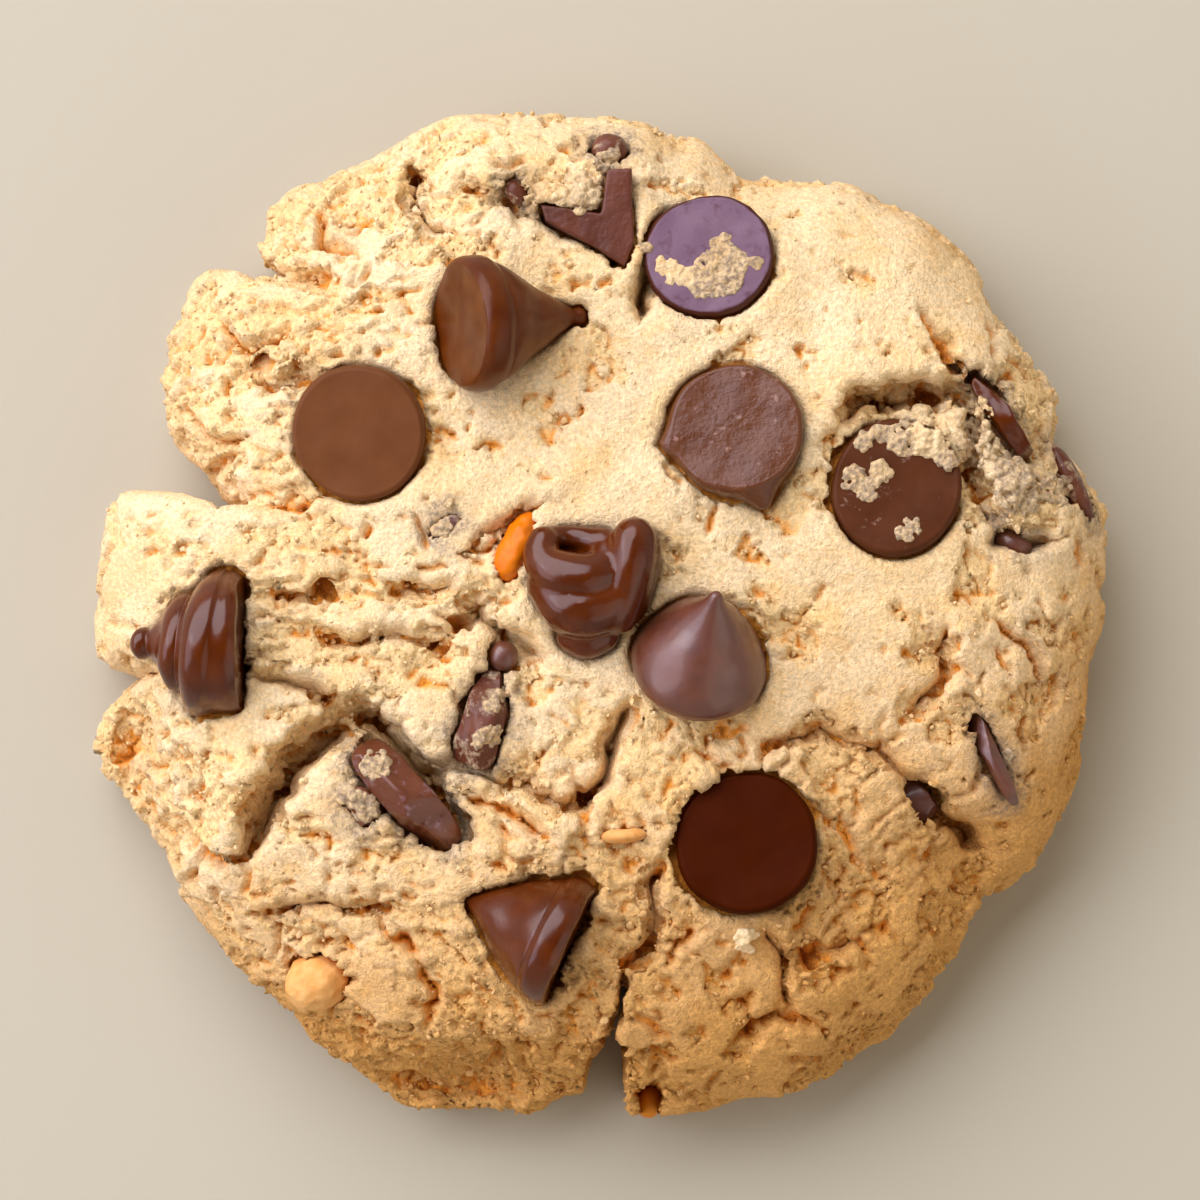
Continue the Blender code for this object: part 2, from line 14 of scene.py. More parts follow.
import bmesh
import bpy
import numpy as np
from mathutils import Euler, Matrix, Vector, noise
from mathutils.bvhtree import BVHTree
from mathutils.kdtree import KDTree

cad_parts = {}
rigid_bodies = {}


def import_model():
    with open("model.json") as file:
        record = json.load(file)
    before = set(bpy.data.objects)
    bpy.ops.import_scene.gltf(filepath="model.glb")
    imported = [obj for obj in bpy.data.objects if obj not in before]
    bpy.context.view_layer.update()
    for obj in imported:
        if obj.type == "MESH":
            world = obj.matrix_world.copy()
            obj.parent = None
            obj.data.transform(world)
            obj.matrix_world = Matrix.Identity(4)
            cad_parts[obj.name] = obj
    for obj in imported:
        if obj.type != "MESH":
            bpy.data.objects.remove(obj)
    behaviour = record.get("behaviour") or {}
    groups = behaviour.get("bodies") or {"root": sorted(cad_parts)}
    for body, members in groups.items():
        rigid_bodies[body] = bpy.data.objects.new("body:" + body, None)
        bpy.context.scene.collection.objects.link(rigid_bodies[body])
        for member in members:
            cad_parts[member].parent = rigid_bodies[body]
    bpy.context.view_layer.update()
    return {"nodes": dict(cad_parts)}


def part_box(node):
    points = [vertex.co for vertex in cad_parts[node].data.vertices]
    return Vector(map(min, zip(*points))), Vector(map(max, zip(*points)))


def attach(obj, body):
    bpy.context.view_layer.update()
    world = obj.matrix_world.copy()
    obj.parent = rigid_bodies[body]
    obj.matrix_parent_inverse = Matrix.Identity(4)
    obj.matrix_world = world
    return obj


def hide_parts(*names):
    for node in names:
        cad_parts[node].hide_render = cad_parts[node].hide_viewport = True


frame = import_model()

# %% [markdown]
# ## Noise that a whole mesh can use at once
#
# Baked crumb is irregular at every size, so nearly every step below needs smooth random numbers that
# depend on a place in space. `mathutils.noise` gives them one call at a time, which is slow for a
# hundred thousand points. The same idea, Perlin's gradient noise, takes a few lines of numpy: each
# corner of a unit lattice gets a pseudo-random slope, and the eight slopes round a point are blended.
# Adding finer and weaker copies of the noise gives the rough, natural kind often called fractal.

# %% Gradient noise and its sums
HASH_PRIMES = (73856093, 19349663, 83492791)
HASH_MASK = 0xFFFFFFFF


def scramble(cells, seed):
    """One pseudo-random whole number for each lattice corner."""
    number = np.full(len(cells), seed * 2654435761 & HASH_MASK, dtype=np.int64)
    for axis, prime in enumerate(HASH_PRIMES):
        number = (number ^ (cells[:, axis] * prime)) & HASH_MASK
    number = ((number ^ (number >> 15)) * 2246822519) & HASH_MASK
    return (number ^ (number >> 13)) & HASH_MASK


def smooth_noise(points, size, seed=1):
    """Noise from about -1 to 1 whose lumps are about size across. A size of three values stretches it."""
    place = points / np.asarray(size)
    cell = np.floor(place).astype(np.int64)
    inside = place - cell
    ease = inside ** 3 * (inside * (inside * 6 - 15) + 10)
    total = np.zeros(len(points))
    for corner in np.ndindex(2, 2, 2):
        number = scramble(cell + corner, seed)
        away = inside - corner
        slope = np.stack([(number >> shift & 1023) / 511.5 - 1.0 for shift in (0, 10, 20)], axis=1)
        weight = np.prod(np.where(np.array(corner) == 1, ease, 1 - ease), axis=1)
        total += weight * (slope * away).sum(axis=1)
    return total * 1.25


def rough_noise(points, size, octaves, seed=1):
    """Sum of ever finer and weaker noise."""
    size = np.asarray(size, dtype=float)
    total = np.zeros(len(points))
    for octave in range(octaves):
        total += smooth_noise(points, size / 2 ** octave, seed + octave) / 2 ** octave
    return total


def smooth_step(value, low, high):
    """0 below low, 1 above high, and an eased ramp between them."""
    share = np.clip((value - low) / (high - low), 0.0, 1.0)
    return share * share * (3 - 2 * share)


probe = np.random.default_rng(1).uniform(-0.03, 0.03, (2000, 3))
trial = smooth_noise(probe, 0.004)
print("noise runs from", trial.min().round(2), "to", trial.max().round(2))

# %% [markdown]
# ## Lumps packed like crumb
#
# Torn crumb looks like small rounded lumps pushed together, with a dark line where two lumps meet.
# Cellular noise gives that: one random point in each lattice cell, and the distance from every place
# to its nearest such point. Near the point the surface is high, and halfway to the next one it dips.

# %% Cellular noise
def cell_lumps(points, size, seed=1):
    """1 at the middle of each lump, falling to about 0 where lumps meet."""
    place = points / size
    cell = np.floor(place).astype(np.int64)
    nearest = np.full(len(points), 9.0)
    for step in np.ndindex(3, 3, 3):
        corner = cell + np.array(step) - 1
        number = scramble(corner, seed)
        jitter = np.stack([(number >> shift & 1023) / 1023.0 for shift in (0, 10, 20)], axis=1)
        nearest = np.minimum(nearest, ((place - corner - jitter) ** 2).sum(axis=1))
    return 1.0 - np.clip(nearest, 0.0, 1.0)


print("mean lump height", cell_lumps(probe, 0.001).mean().round(2))

# %% [markdown]
# ## The outline of a slumped dough ball
#
# Seen from above the cookie is nearly round, but the dough has spread in lobes with dents between
# them. A round outline with a few bell-shaped lobes and dents says this with very few numbers: where
# each one points, how wide it is on either side, and how far it reaches out or in.

# %% Outline: a circle with lobes and dents
MEAN_RADIUS = 0.0374
RIM_LOBES = [
    (12, 5, 4, 0.0010), (21, 3, 3, -0.0014), (48, 7, 5, 0.0010), (71, 8, 8, -0.0027),
    (81, 2.5, 2.5, -0.0009), (106, 8, 8, 0.0014), (128, 7, 2.5, 0.0022), (140, 3, 7, 0.0018),
    (163.5, 6, 1.8, -0.0080), (188, 1.6, 1.6, -0.0030), (197, 4, 4, 0.0013), (208, 3, 3, -0.0006),
    (246, 9, 9, 0.0019), (267, 3, 3, -0.0014), (294, 7, 6, 0.0010), (323, 6, 5, -0.0018),
    (352, 5, 5, -0.0008),
]


def bell(angle, at, before, after):
    """1 in the direction at, falling off with its own spread on either side, all in degrees."""
    off = (angle - at + 180.0) % 360.0 - 180.0
    return np.exp(-((off / np.where(off < 0.0, before, after)) ** 2))


def rim_radius(angle):
    """Radius of the dough's widest level in each direction, in degrees."""
    radius = np.full(np.shape(angle), MEAN_RADIUS)
    for at, before, after, reach in RIM_LOBES:
        radius = radius + reach * bell(angle, at, before, after)
    return radius


radii = rim_radius(np.arange(360.0)) * 1000
print(f"outline radius {radii.min():.1f} to {radii.max():.1f} mm")

# %% [markdown]
# ## The dome over it
#
# The top is a low dome whose flank stands steep on the far and left sides and leans on the near and
# right sides. A superellipse gives both with one number, its fullness. To keep the mesh even, the
# dome is measured along its arc, so that equal steps of the grid are equal steps over the surface.

# %% Dome: a superellipse walked in even steps
CROWN_HEIGHT = 0.0162
WAIST_HEIGHT = 0.0052
FOOT_SHARE = 0.955
FOOT_DROP = 0.0006
STEEP_FULLNESS = 6.5
LEANING_FULLNESS = 3.4
LEANING_FLANKS = [(-40, 34, 1.0), (5, 26, 0.55), (-118, 26, 0.75), (205, 14, 0.35)]


def dome_profile(fullness):
    """Radius and height shares at even steps of arc, from the crown's middle to the widest level."""
    turn = np.linspace(0.0, math.pi / 2.0, 400)
    radius = np.sin(turn) ** (2.0 / fullness)
    height = np.cos(turn)
    steps = np.hypot(np.diff(radius * MEAN_RADIUS), np.diff(height * (CROWN_HEIGHT - WAIST_HEIGHT)))
    arc = np.concatenate([[0.0], np.cumsum(steps)])
    return arc / arc[-1], radius, height


def leaning_share(angle):
    """How far the flank leans in each direction, from 0 where it stands steep to 1."""
    share = np.zeros(np.shape(angle))
    for at, spread, most in LEANING_FLANKS:
        share = np.maximum(share, most * bell(angle, at, spread, spread))
    return share


def smooth_dome(ring, angle):
    """Places on the dome for ring shares from 0 at the crown to 1 at the widest level."""
    lean = leaning_share(angle)
    arc, radius, height = dome_profile(STEEP_FULLNESS)
    soft_arc, soft_radius, soft_height = dome_profile(LEANING_FULLNESS)
    share = (1 - lean) * np.interp(ring, arc, radius) + lean * np.interp(ring, soft_arc, soft_radius)
    rise = (1 - lean) * np.interp(ring, arc, height) + lean * np.interp(ring, soft_arc, soft_height)
    turn = np.radians(angle)
    reach = rim_radius(angle) * share
    height = WAIST_HEIGHT + (CROWN_HEIGHT - WAIST_HEIGHT) * rise
    return np.stack([reach * np.cos(turn), reach * np.sin(turn), height], axis=1)


shoulder = smooth_dome(np.array([0.5]), np.array([90.0]))[0] * 1000
print(f"halfway down its arc the far flank is at {shoulder[1]:.1f} mm out and {shoulder[2]:.1f} mm up")

# %% [markdown]
# ## Swells, cracks and banks
#
# The real top isn't a clean dome. The dough swelled in some places and sank in others, and where the
# drying crust couldn't stretch it opened in cracks. Each crack is a short broken line with a width, a
# depth, and a bank: the step between its two sides, where one plate of crust rode up over the other.

# %% Swells and dips in millimetres: x, y, radius along x, radius along y, height
def metres(table):
    """The same table, or table of tables, with its millimetres turned to metres."""
    if isinstance(table, (list, tuple)):
        return type(table)(metres(entry) for entry in table)
    return round(table / 1000, 8)


SWELLS = metres([
    (-26.2, -14.5, 5, 5, 1.4), (-34.5, -10, 2.4, 4.5, -5.8), (-31, 19.5, 6, 5, -1.2),
    (-20, 29, 5, 4, -1.6), (-8, 31, 5, 4, 1.2), (13, 31, 6, 2.8, -2.2), (0, 8, 13, 10, 0.9),
    (-11, -35, 8, 2.2, -5.2), (19, -24, 8, 7, -0.9), (27, -18, 3, 2.5, -2.2), (30, 11.5, 3, 5, 1),
    (-4, -17, 3.6, 2.2, 1.1),
])
print(f"{len(SWELLS)} swells and dips, the deepest {min(s[4] for s in SWELLS) * 1000:.1f} mm")

# %% Deep cracks in millimetres: half width, depth, how much higher the left bank is, and the route
CRACKS = metres([
    (0.8, 2.6, 0.6, [(-26.2, -5.2), (-21.3, -5.8), (-18.6, -8)]),
    (1.5, 6, -1, [(-18.6, -8.6), (-21.3, -10.2), (-24, -13.5), (-26.2, -18)]),
    (1.2, 6.2, 0.4, [(-18, -7), (-14, -11), (-9.5, -17.2)]),
    (0.9, 3.4, 0.6, [(-10.6, -1.2), (-9, 0), (-7.2, -1.8), (-4.2, -4)]),
    (0.6, 1.8, 0.4, [(-23.9, 0.8), (-19.8, 0.9)]),
    (0.6, 1.8, 0.4, [(-15.1, 1.4), (-10.3, 1.6)]),
    (0.6, 2, 0.5, [(-20.2, -2.1), (-18.7, -2.7), (-14.8, -2), (-10.5, -3.5)]),
    (0.9, 4, 0.6, [(2.4, -7.2), (1, -9.5), (0.4, -12.7), (-2.5, -15)]),
    (0.8, 3, 0.8, [(-2.5, -15), (-6.2, -13.2), (-10.8, -12), (-13, -12)]),
    (0.7, 2.8, 0, [(4, -19), (3.7, -25), (1.8, -26.2)]),
    (0.7, 2.4, -0.6, [(11.8, -10.1), (16.5, -9.3), (19.3, -9.9), (22.3, -12.2)]),
    (1.1, 4.4, -0.8, [(22.3, -12.4), (26, -16), (28, -17.6)]),
    (0.7, 2.2, 0.8, [(11.9, -23.7), (13.7, -26.3), (14, -29.7)]),
    (0.6, 1.8, -0.8, [(14, -26.3), (19.3, -24.8)]),
    (0.7, 2.2, 0.6, [(25.3, -1.8), (25.6, -4.7), (23, -8)]),
    (1.1, 4.2, 1.6, [(17.6, 13.7), (19.2, 15.4), (22.6, 15.7), (25.9, 16.5)]),
    (0.8, 3, 0.6, [(26.2, 17.5), (27.5, 14), (27.2, 10), (30, 4.6)]),
    (0.8, 3, 0, [(28.5, 4.8), (33.8, 5)]),
    (0.8, 2.8, -1.2, [(-14, 33), (-14.1, 30.4), (-12.6, 27.6), (-11, 27.4)]),
    (0.6, 1.8, 0.8, [(-10, 31.3), (-6.2, 29.8), (-0.8, 26.5)]),
    (0.8, 2.6, 0.6, [(-25, 24.7), (-19.5, 24.3)]),
    (0.7, 2.2, 0.6, [(-25.5, 18.5), (-24, 16), (-21.5, 17.5), (-19, 16)]),
    (0.5, 1.8, 0.3, [(-9.5, 4.7), (-4.2, 7.5)]),
    (0.6, 2, 0.4, [(-24.6, -22.2), (-20, -21.6), (-15.5, -22.5)]),
    (1, 5, 0, [(3, 21.2), (3.4, 24.4), (4.2, 26.2)]),
])


def distance_to_route(x, y, route):
    """Distance to a broken line, the side it lies on (left is positive), and the way along it, 0 to 1."""
    best = np.full(len(x), 1.0)
    side = np.ones(len(x))
    along = np.zeros(len(x))
    for index, (start, end) in enumerate(zip(route[:-1], route[1:])):
        run = np.subtract(end, start)
        share = ((x - start[0]) * run[0] + (y - start[1]) * run[1]) / (run @ run)
        share = np.clip(share, 0.0, 1.0)
        dx = x - start[0] - share * run[0]
        dy = y - start[1] - share * run[1]
        away = np.hypot(dx, dy)
        nearer = away < best
        best = np.where(nearer, away, best)
        side = np.where(nearer, np.sign(run[0] * dy - run[1] * dx), side)
        along = np.where(nearer, (index + share) / (len(route) - 1), along)
    return best, side, along


def ragged(x, y, size, seed):
    """Smooth noise over the flat plan, for the broad lumps that the solid dough has too."""
    return np.array([noise.noise(Vector((a / size, b / size, seed))) for a, b in zip(x, y)])


# How a crack runs out at its ends, how it narrows there, how steep its walls are and how far its bank
# reaches. The fine tears further down have their own values.
DEEP = {"run_out": 5.0, "least": 0.45, "narrow": 0.35, "widen": 0.75, "deepen": 1.25, "wall": 0.5,
        "bank_reach": 0.0028}


def crack_relief(x, y, crack, run_out, least, narrow, widen, deepen, wall, bank_reach):
    """How far one crack sinks each place, and how far its bank raises or lowers it."""
    half_width, depth, bank, route = crack
    away, side, along = distance_to_route(x, y, route)
    taper = np.clip(run_out * np.minimum(along, 1.0 - along) + least, 0.0, 1.0)
    cut = np.clip(1.0 - away / (half_width * (narrow + widen * taper)), 0.0, 1.0)
    return deepen * depth * taper * cut ** wall, bank * side * np.exp(-away / bank_reach) * taper


def crack_depth(x, y, cracks):
    """Height that the deep cracks and their banks add."""
    height = np.zeros(len(x))
    for crack in cracks:
        sunk, raised = crack_relief(x, y, crack, **DEEP)
        height -= sunk
        height += raised
    return height


def broad_relief(x, y):
    """Height to add to the smooth dome: lumps, swells and deep cracks."""
    height = 0.00055 * ragged(x, y, 0.0110, 3.0) + 0.00030 * ragged(x, y, 0.0035, 7.0)
    for cx, cy, rx, ry, rise in SWELLS:
        height += rise * np.exp(-(((x - cx) / rx) ** 2) - ((y - cy) / ry) ** 2)
    wander_x = x + 0.0006 * ragged(x, y, 0.0022, 21.0)
    wander_y = y + 0.0006 * ragged(x, y, 0.0022, 34.0)
    return height + crack_depth(wander_x, wander_y, CRACKS)


print(f"{len(SWELLS)} swells, {len(CRACKS)} deep cracks")

# %% [markdown]
# ## From a flat grid to a closed body
#
# A square grid folds neatly over a dome: each square ring of the grid becomes a round ring of the
# dome, so there is no crowded pole in the middle as on a globe. The grid's outer edge is then drawn
# down in rings to the foot, the foot is closed with one face, and the body is cut flat where it lies.

# %% The coarse body
GRID_CELLS = 176
SIDE_RINGS = 14
FLANK_LUMP = 0.0007
UNDERCUT_POWER = 2.5


def finished_mesh(form, name):
    """The mesh of a bmesh, which is then freed."""
    mesh = bpy.data.meshes.new(name)
    form.to_mesh(mesh)
    form.free()
    return mesh


def placed(name, data):
    """A new object in the scene."""
    made = bpy.data.objects.new(name, data)
    bpy.context.scene.collection.objects.link(made)
    return made


def disc_from_square(u, v):
    """Concentric map of the square's points to ring share and direction in degrees."""
    ring = np.maximum(np.abs(u), np.abs(v))
    safe = np.where(ring == 0.0, 1.0, ring)
    east, west = 45.0 * v / safe, 180.0 - 45.0 * v / safe
    north, south = 90.0 - 45.0 * u / safe, 270.0 + 45.0 * u / safe
    sideways = np.where(u > 0, east, west)
    return ring, np.where(np.abs(u) >= np.abs(v), sideways, np.where(v > 0, north, south))


def lumpy_flank(places, reach, size):
    """Moves points in or out of the round by noise."""
    grow = [1.0 + reach / MEAN_RADIUS * noise.noise(Vector(p)) for p in places / np.array(size)]
    return places * np.stack([grow, grow, np.ones(len(places))], axis=1)


def coarse_body():
    """The dome with its broad relief, drawn down to the foot and closed."""
    form = bmesh.new()
    bmesh.ops.create_grid(form, x_segments=GRID_CELLS, y_segments=GRID_CELLS, size=1.0)
    corners = np.array([v.co[:2] for v in form.verts])
    ring, angle = disc_from_square(corners[:, 0], corners[:, 1])
    places = smooth_dome(ring, angle)
    fade = np.clip((places[:, 2] - WAIST_HEIGHT) / 0.004, 0.0, 1.0)
    places[:, 2] += broad_relief(places[:, 0], places[:, 1]) * fade
    edge_share = np.clip((ring - 0.80) / 0.15, 0.0, 1.0)[:, None]
    places += edge_share * (lumpy_flank(places, FLANK_LUMP, (0.0045, 0.0045, 0.0030)) - places)
    for vertex, place in zip(form.verts, places):
        vertex.co = place
    rim = [e for e in form.edges if e.is_boundary]
    for step in range(1, SIDE_RINGS + 1):
        fall = step / SIDE_RINGS
        drawn = bmesh.ops.extrude_edge_only(form, edges=rim)["geom"]
        rim = [g for g in drawn if isinstance(g, bmesh.types.BMEdge)]
        before = 1.0 - (1.0 - FOOT_SHARE) * ((step - 1) / SIDE_RINGS) ** UNDERCUT_POWER
        share = (1.0 - (1.0 - FOOT_SHARE) * fall ** UNDERCUT_POWER) / before
        for vertex in (g for g in drawn if isinstance(g, bmesh.types.BMVert)):
            vertex.co.x *= share
            vertex.co.y *= share
            vertex.co.z = WAIST_HEIGHT - (WAIST_HEIGHT + FOOT_DROP) * fall
    for vertex in form.verts:
        if vertex.co.z < WAIST_HEIGHT:
            grow = 1.0 + FLANK_LUMP / MEAN_RADIUS * noise.noise(vertex.co / 0.0040)
            vertex.co.x *= grow
            vertex.co.y *= grow
    bmesh.ops.contextual_create(form, geom=rim)
    form.normal_update()
    bmesh.ops.recalc_face_normals(form, faces=form.faces)
    return placed("dough_body", finished_mesh(form, "dough_body"))


dough = coarse_body()
print(f"coarse body: {len(dough.data.polygons)} faces")

# %% [markdown]
# ## Splits through the edge
#
# Three cracks run right through the dough at its edge. Each is the outline of what is missing, as a
# flat curve filled and extruded into a plate, and a Boolean modifier takes it away. The underside is
# cut flat in the same way, by a slab. The plates go once the cut is made.

# %% Splits: outlines of what is missing, in millimetres
SPLITS = {
    "lower_split": [(1.6, -26.2), (0.9, -30), (-0.8, -34), (-2.2, -40), (2.6, -40), (1.9, -35),
                    (1.7, -31), (2.3, -28)],
    "upper_left_split": [(-22.2, 25), (-24.5, 26.2), (-28.5, 30), (-31.5, 30), (-29.2, 25.8),
                         (-26.2, 24.6)],
    "left_split": [(-25, 7), (-28, 8.8), (-33, 11.6), (-33, 8.8), (-28.5, 7.2)],
}


def plate(name, outline, low, high):
    """A flat outline extruded between two heights, as a mesh object."""
    form = bmesh.new()
    corners = [form.verts.new((x, y, low)) for x, y in outline]
    face = form.faces.new(corners)
    raised = bmesh.ops.extrude_face_region(form, geom=[face])["geom"]
    for vertex in (g for g in raised if isinstance(g, bmesh.types.BMVert)):
        vertex.co.z = high
    form.normal_update()
    bmesh.ops.recalc_face_normals(form, faces=form.faces)
    return placed(name, finished_mesh(form, name))


def apply_modifiers(obj):
    """Puts the modifiers' result in the object's own mesh."""
    bpy.context.view_layer.update()
    seen = obj.evaluated_get(bpy.context.evaluated_depsgraph_get())
    mesh = bpy.data.meshes.new_from_object(seen)
    obj.modifiers.clear()
    obj.data = mesh


def discard(*objects):
    """Removes objects that have done their work."""
    for obj in objects:
        bpy.data.objects.remove(obj, do_unlink=True)


def square(half):
    """Corners of a square whose middle is the origin."""
    return [(-half, -half), (half, -half), (half, half), (-half, half)]


BELOW_ALL, ABOVE_ALL = -0.001, 0.030
cutters = [plate(name, metres(outline), BELOW_ALL, ABOVE_ALL) for name, outline in SPLITS.items()]
cutters.append(plate("underside", square(2.0 * MEAN_RADIUS), -0.01, 0.0))
for cutter in cutters:
    cut = dough.modifiers.new(cutter.name, "BOOLEAN")
    cut.operation = "DIFFERENCE"
    cut.object = cutter
apply_modifiers(dough)
discard(*cutters)
print(f"after {len(cutters)} cuts: {len(dough.data.polygons)} faces")

# %% [markdown]
# ## Even faces everywhere
#
# The crack walls are now made of a few long faces, which couldn't carry crumb. A voxel remesh wraps
# the same body in small even squares, walls and overhangs too. The flat underside doesn't need them,
# so its faces are dissolved into one, which leaves more of the face budget for the crust.

# %% Voxel remesh, with one face underneath
VOXEL = 0.00024


def wrapped(obj, voxel):
    """Puts a skin of even squares in place of the object's mesh."""
    remesh = obj.modifiers.new("even", "REMESH")
    remesh.mode = "VOXEL"
    remesh.voxel_size = voxel
    apply_modifiers(obj)


def close_underside(mesh, level):
    """Replaces every face that lies in the underside by one, exactly at height 0."""
    form = bmesh.new()
    form.from_mesh(mesh)
    below = [f for f in form.faces if all(v.co.z < level for v in f.verts)]
    bmesh.ops.delete(form, geom=below, context="FACES")
    edge = [e for e in form.edges if e.is_boundary]
    for vertex in {v for e in edge for v in e.verts}:
        vertex.co.z = 0.0
    bmesh.ops.holes_fill(form, edges=edge, sides=0)
    form.to_mesh(mesh)
    form.free()


wrapped(dough, VOXEL)
close_underside(dough.data, 0.6 * VOXEL)
print(f"even body: {len(dough.data.polygons)} faces")

# %% [markdown]
# ## Meshes as arrays
#
# Blender hands a mesh over point by point or as one long array. The array is far faster: a few lines
# of numpy then move every point at once. Averaging each point with its neighbours, which the edges
# name, is the other tool that is used again and again: it rounds forms, and it tells how far a point
# stands above or below its surroundings.

# %% Points, normals and neighbours of a mesh as arrays
def mesh_points(mesh):
    flat = np.empty(len(mesh.vertices) * 3)
    mesh.vertices.foreach_get("co", flat)
    return flat.reshape(-1, 3)


def mesh_normals(mesh):
    flat = np.empty(len(mesh.vertices) * 3)
    mesh.vertex_normals.foreach_get("vector", flat)
    return flat.reshape(-1, 3)


def move_points(mesh, points):
    mesh.vertices.foreach_set("co", points.ravel())
    mesh.update()


def mesh_edges(mesh):
    flat = np.empty(len(mesh.edges) * 2, dtype=np.int64)
    mesh.edges.foreach_get("vertices", flat)
    return flat.reshape(-1, 2)


def keep_tone(mesh, values):
    """Keeps four shares with each point, where a material finds them by the name tone."""
    layer = mesh.color_attributes.new("tone", "FLOAT_COLOR", "POINT")
    layer.data.foreach_set("color", values.astype(np.float32).ravel())


def relaxed(values, edges, rounds):
    """Values averaged with their neighbours, again and again."""
    first, second = edges.T
    count = np.bincount(edges.ravel(), minlength=len(values)).astype(float)
    count = np.maximum(count, 1.0)
    values = values.copy()
    for _ in range(rounds):
        total = np.empty_like(values)
        for axis in range(values.shape[1]):
            column = values[:, axis]
            total[:, axis] = (np.bincount(first, column[second], len(values))
                              + np.bincount(second, column[first], len(values)))
        values = 0.5 * values + 0.5 * total / count[:, None]
    return values


print(f"{len(mesh_points(dough.data))} points and {len(mesh_edges(dough.data))} edges in the dough")

# %% [markdown]
# ## Chips that keep their turned form
#
# A baking chip is poured as a drop, so it is round about one axis: a flat base, a fat shoulder and a
# cone with a curled tip. Half its outline is drawn as a few pairs, how far up and how wide, a smooth
# curve is run through them, and the curve is turned about the axis. Most chips lie on their side or
# stick in the dough upside down with the base showing, so each also has a direction and a rise.

# %% From a half outline to a turned body
ROUND_STEPS = 96
OUTLINE_STEPS = 5


def smooth_line(points, steps):
    """A Catmull-Rom curve through the points."""
    points = np.array(points, dtype=float)
    padded = np.vstack([2 * points[0] - points[1], points, 2 * points[-1] - points[-2]])
    t = np.linspace(0.0, 1.0, steps, endpoint=False)[:, None]
    spans = []
    for a, b, c, d in zip(padded, padded[1:], padded[2:], padded[3:]):
        spans.append(0.5 * (2 * b + (c - a) * t + (2 * a - 5 * b + 4 * c - d) * t ** 2
                            + (3 * b - a - 3 * c + d) * t ** 3))
    return np.vstack([*spans, points[-1:]])


def turned_mesh(name, form, radius, height):
    """Turns pairs of (share of the height, share of the radius) about Z, from the tip to the base."""
    line = smooth_line(form, OUTLINE_STEPS)
    line[:, 1] = np.maximum(line[:, 1], 0.0)
    turn = np.linspace(0.0, 2 * math.pi, ROUND_STEPS, endpoint=False)
    rings = [np.stack([radius * share * np.cos(turn), radius * share * np.sin(turn),
                       np.full(ROUND_STEPS, height * level)], axis=1) for level, share in line[1:-1]]
    count = len(rings)
    corners = np.vstack([*rings, [(0.0, 0.0, height * line[0, 0]), (0.0, 0.0, height * line[-1, 0])]])
    tip, base = count * ROUND_STEPS, count * ROUND_STEPS + 1
    faces = []
    for step in range(ROUND_STEPS):
        after = (step + 1) % ROUND_STEPS
        faces.append((tip, after, step))
        faces.append((base, (count - 1) * ROUND_STEPS + step, (count - 1) * ROUND_STEPS + after))
        for ring in range(count - 1):
            first, second = ring * ROUND_STEPS, (ring + 1) * ROUND_STEPS
            faces.append((first + step, first + after, second + after, second + step))
    mesh = bpy.data.meshes.new(name)
    mesh.from_pydata(corners.tolist(), [], faces)
    closed = bmesh.new()
    closed.from_mesh(mesh)
    bmesh.ops.recalc_face_normals(closed, faces=closed.faces)
    closed.to_mesh(mesh)
    closed.free()
    return mesh


def lumpy(mesh, size, reach, seed):
    """Moves every point in or out along its normal by smooth noise."""
    points = mesh_points(mesh)
    points += mesh_normals(mesh) * (reach * smooth_noise(points, size, seed))[:, None]
    move_points(mesh, points)


def pitted(mesh, size, depth, from_level, seed):
    """Sinks small round pits where noise is high."""
    points = mesh_points(mesh)
    pit = smooth_step(smooth_noise(points, size, seed), from_level, from_level + 0.15)
    move_points(mesh, points - mesh_normals(mesh) * (depth * pit)[:, None])


def seat(mesh, node):
    """Moves the mesh so that the middle of its box is the middle of the solid's box."""
    low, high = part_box(node)
    points = mesh_points(mesh)
    middle = (points.min(axis=0) + points.max(axis=0)) / 2
    move_points(mesh, points + np.array((low + high) / 2) - middle)


# %% Half outlines: share of the height, share of the radius
DISC_FORM = [
    (1.0, 0.0), (0.98, 0.09), (0.90, 0.22), (0.70, 0.45), (0.45, 0.76), (0.25, 0.94), (0.14, 0.985),
    (0.065, 0.985), (0.028, 0.970), (0.006, 0.940), (0.0, 0.905), (0.001, 0.86), (0.004, 0.6),
    (0.005, 0.3), (0.006, 0.0),
]
LYING_FORM = [
    (1.0, 0.0), (0.998, 0.06), (0.98, 0.115), (0.95, 0.13), (0.915, 0.115), (0.88, 0.14), (0.76, 0.28),
    (0.60, 0.47), (0.45, 0.67), (0.34, 0.82), (0.27, 0.895), (0.245, 0.905), (0.22, 0.945), (0.17, 1.0),
    (0.09, 1.0), (0.04, 0.975), (0.006, 0.92), (0.0, 0.87), (0.004, 0.6), (0.006, 0.3), (0.006, 0.0),
]
UPRIGHT_FORM = [
    (1.0, 0.0), (0.99, 0.06), (0.96, 0.10), (0.89, 0.155), (0.80, 0.25), (0.69, 0.39), (0.57, 0.56),
    (0.44, 0.735), (0.32, 0.87), (0.20, 0.97), (0.11, 1.0), (0.04, 0.965), (0.0, 0.88), (0.0, 0.5),
    (0.0, 0.0),
]
LOWER_FORM = [
    (1.0, 0.0), (0.99, 0.05), (0.95, 0.10), (0.86, 0.22), (0.70, 0.42), (0.52, 0.64), (0.38, 0.80),
    (0.29, 0.895), (0.27, 0.905), (0.25, 0.93), (0.20, 0.985), (0.10, 1.0), (0.03, 0.96), (0.0, 0.88),
    (0.0, 0.5), (0.0, 0.0),
]
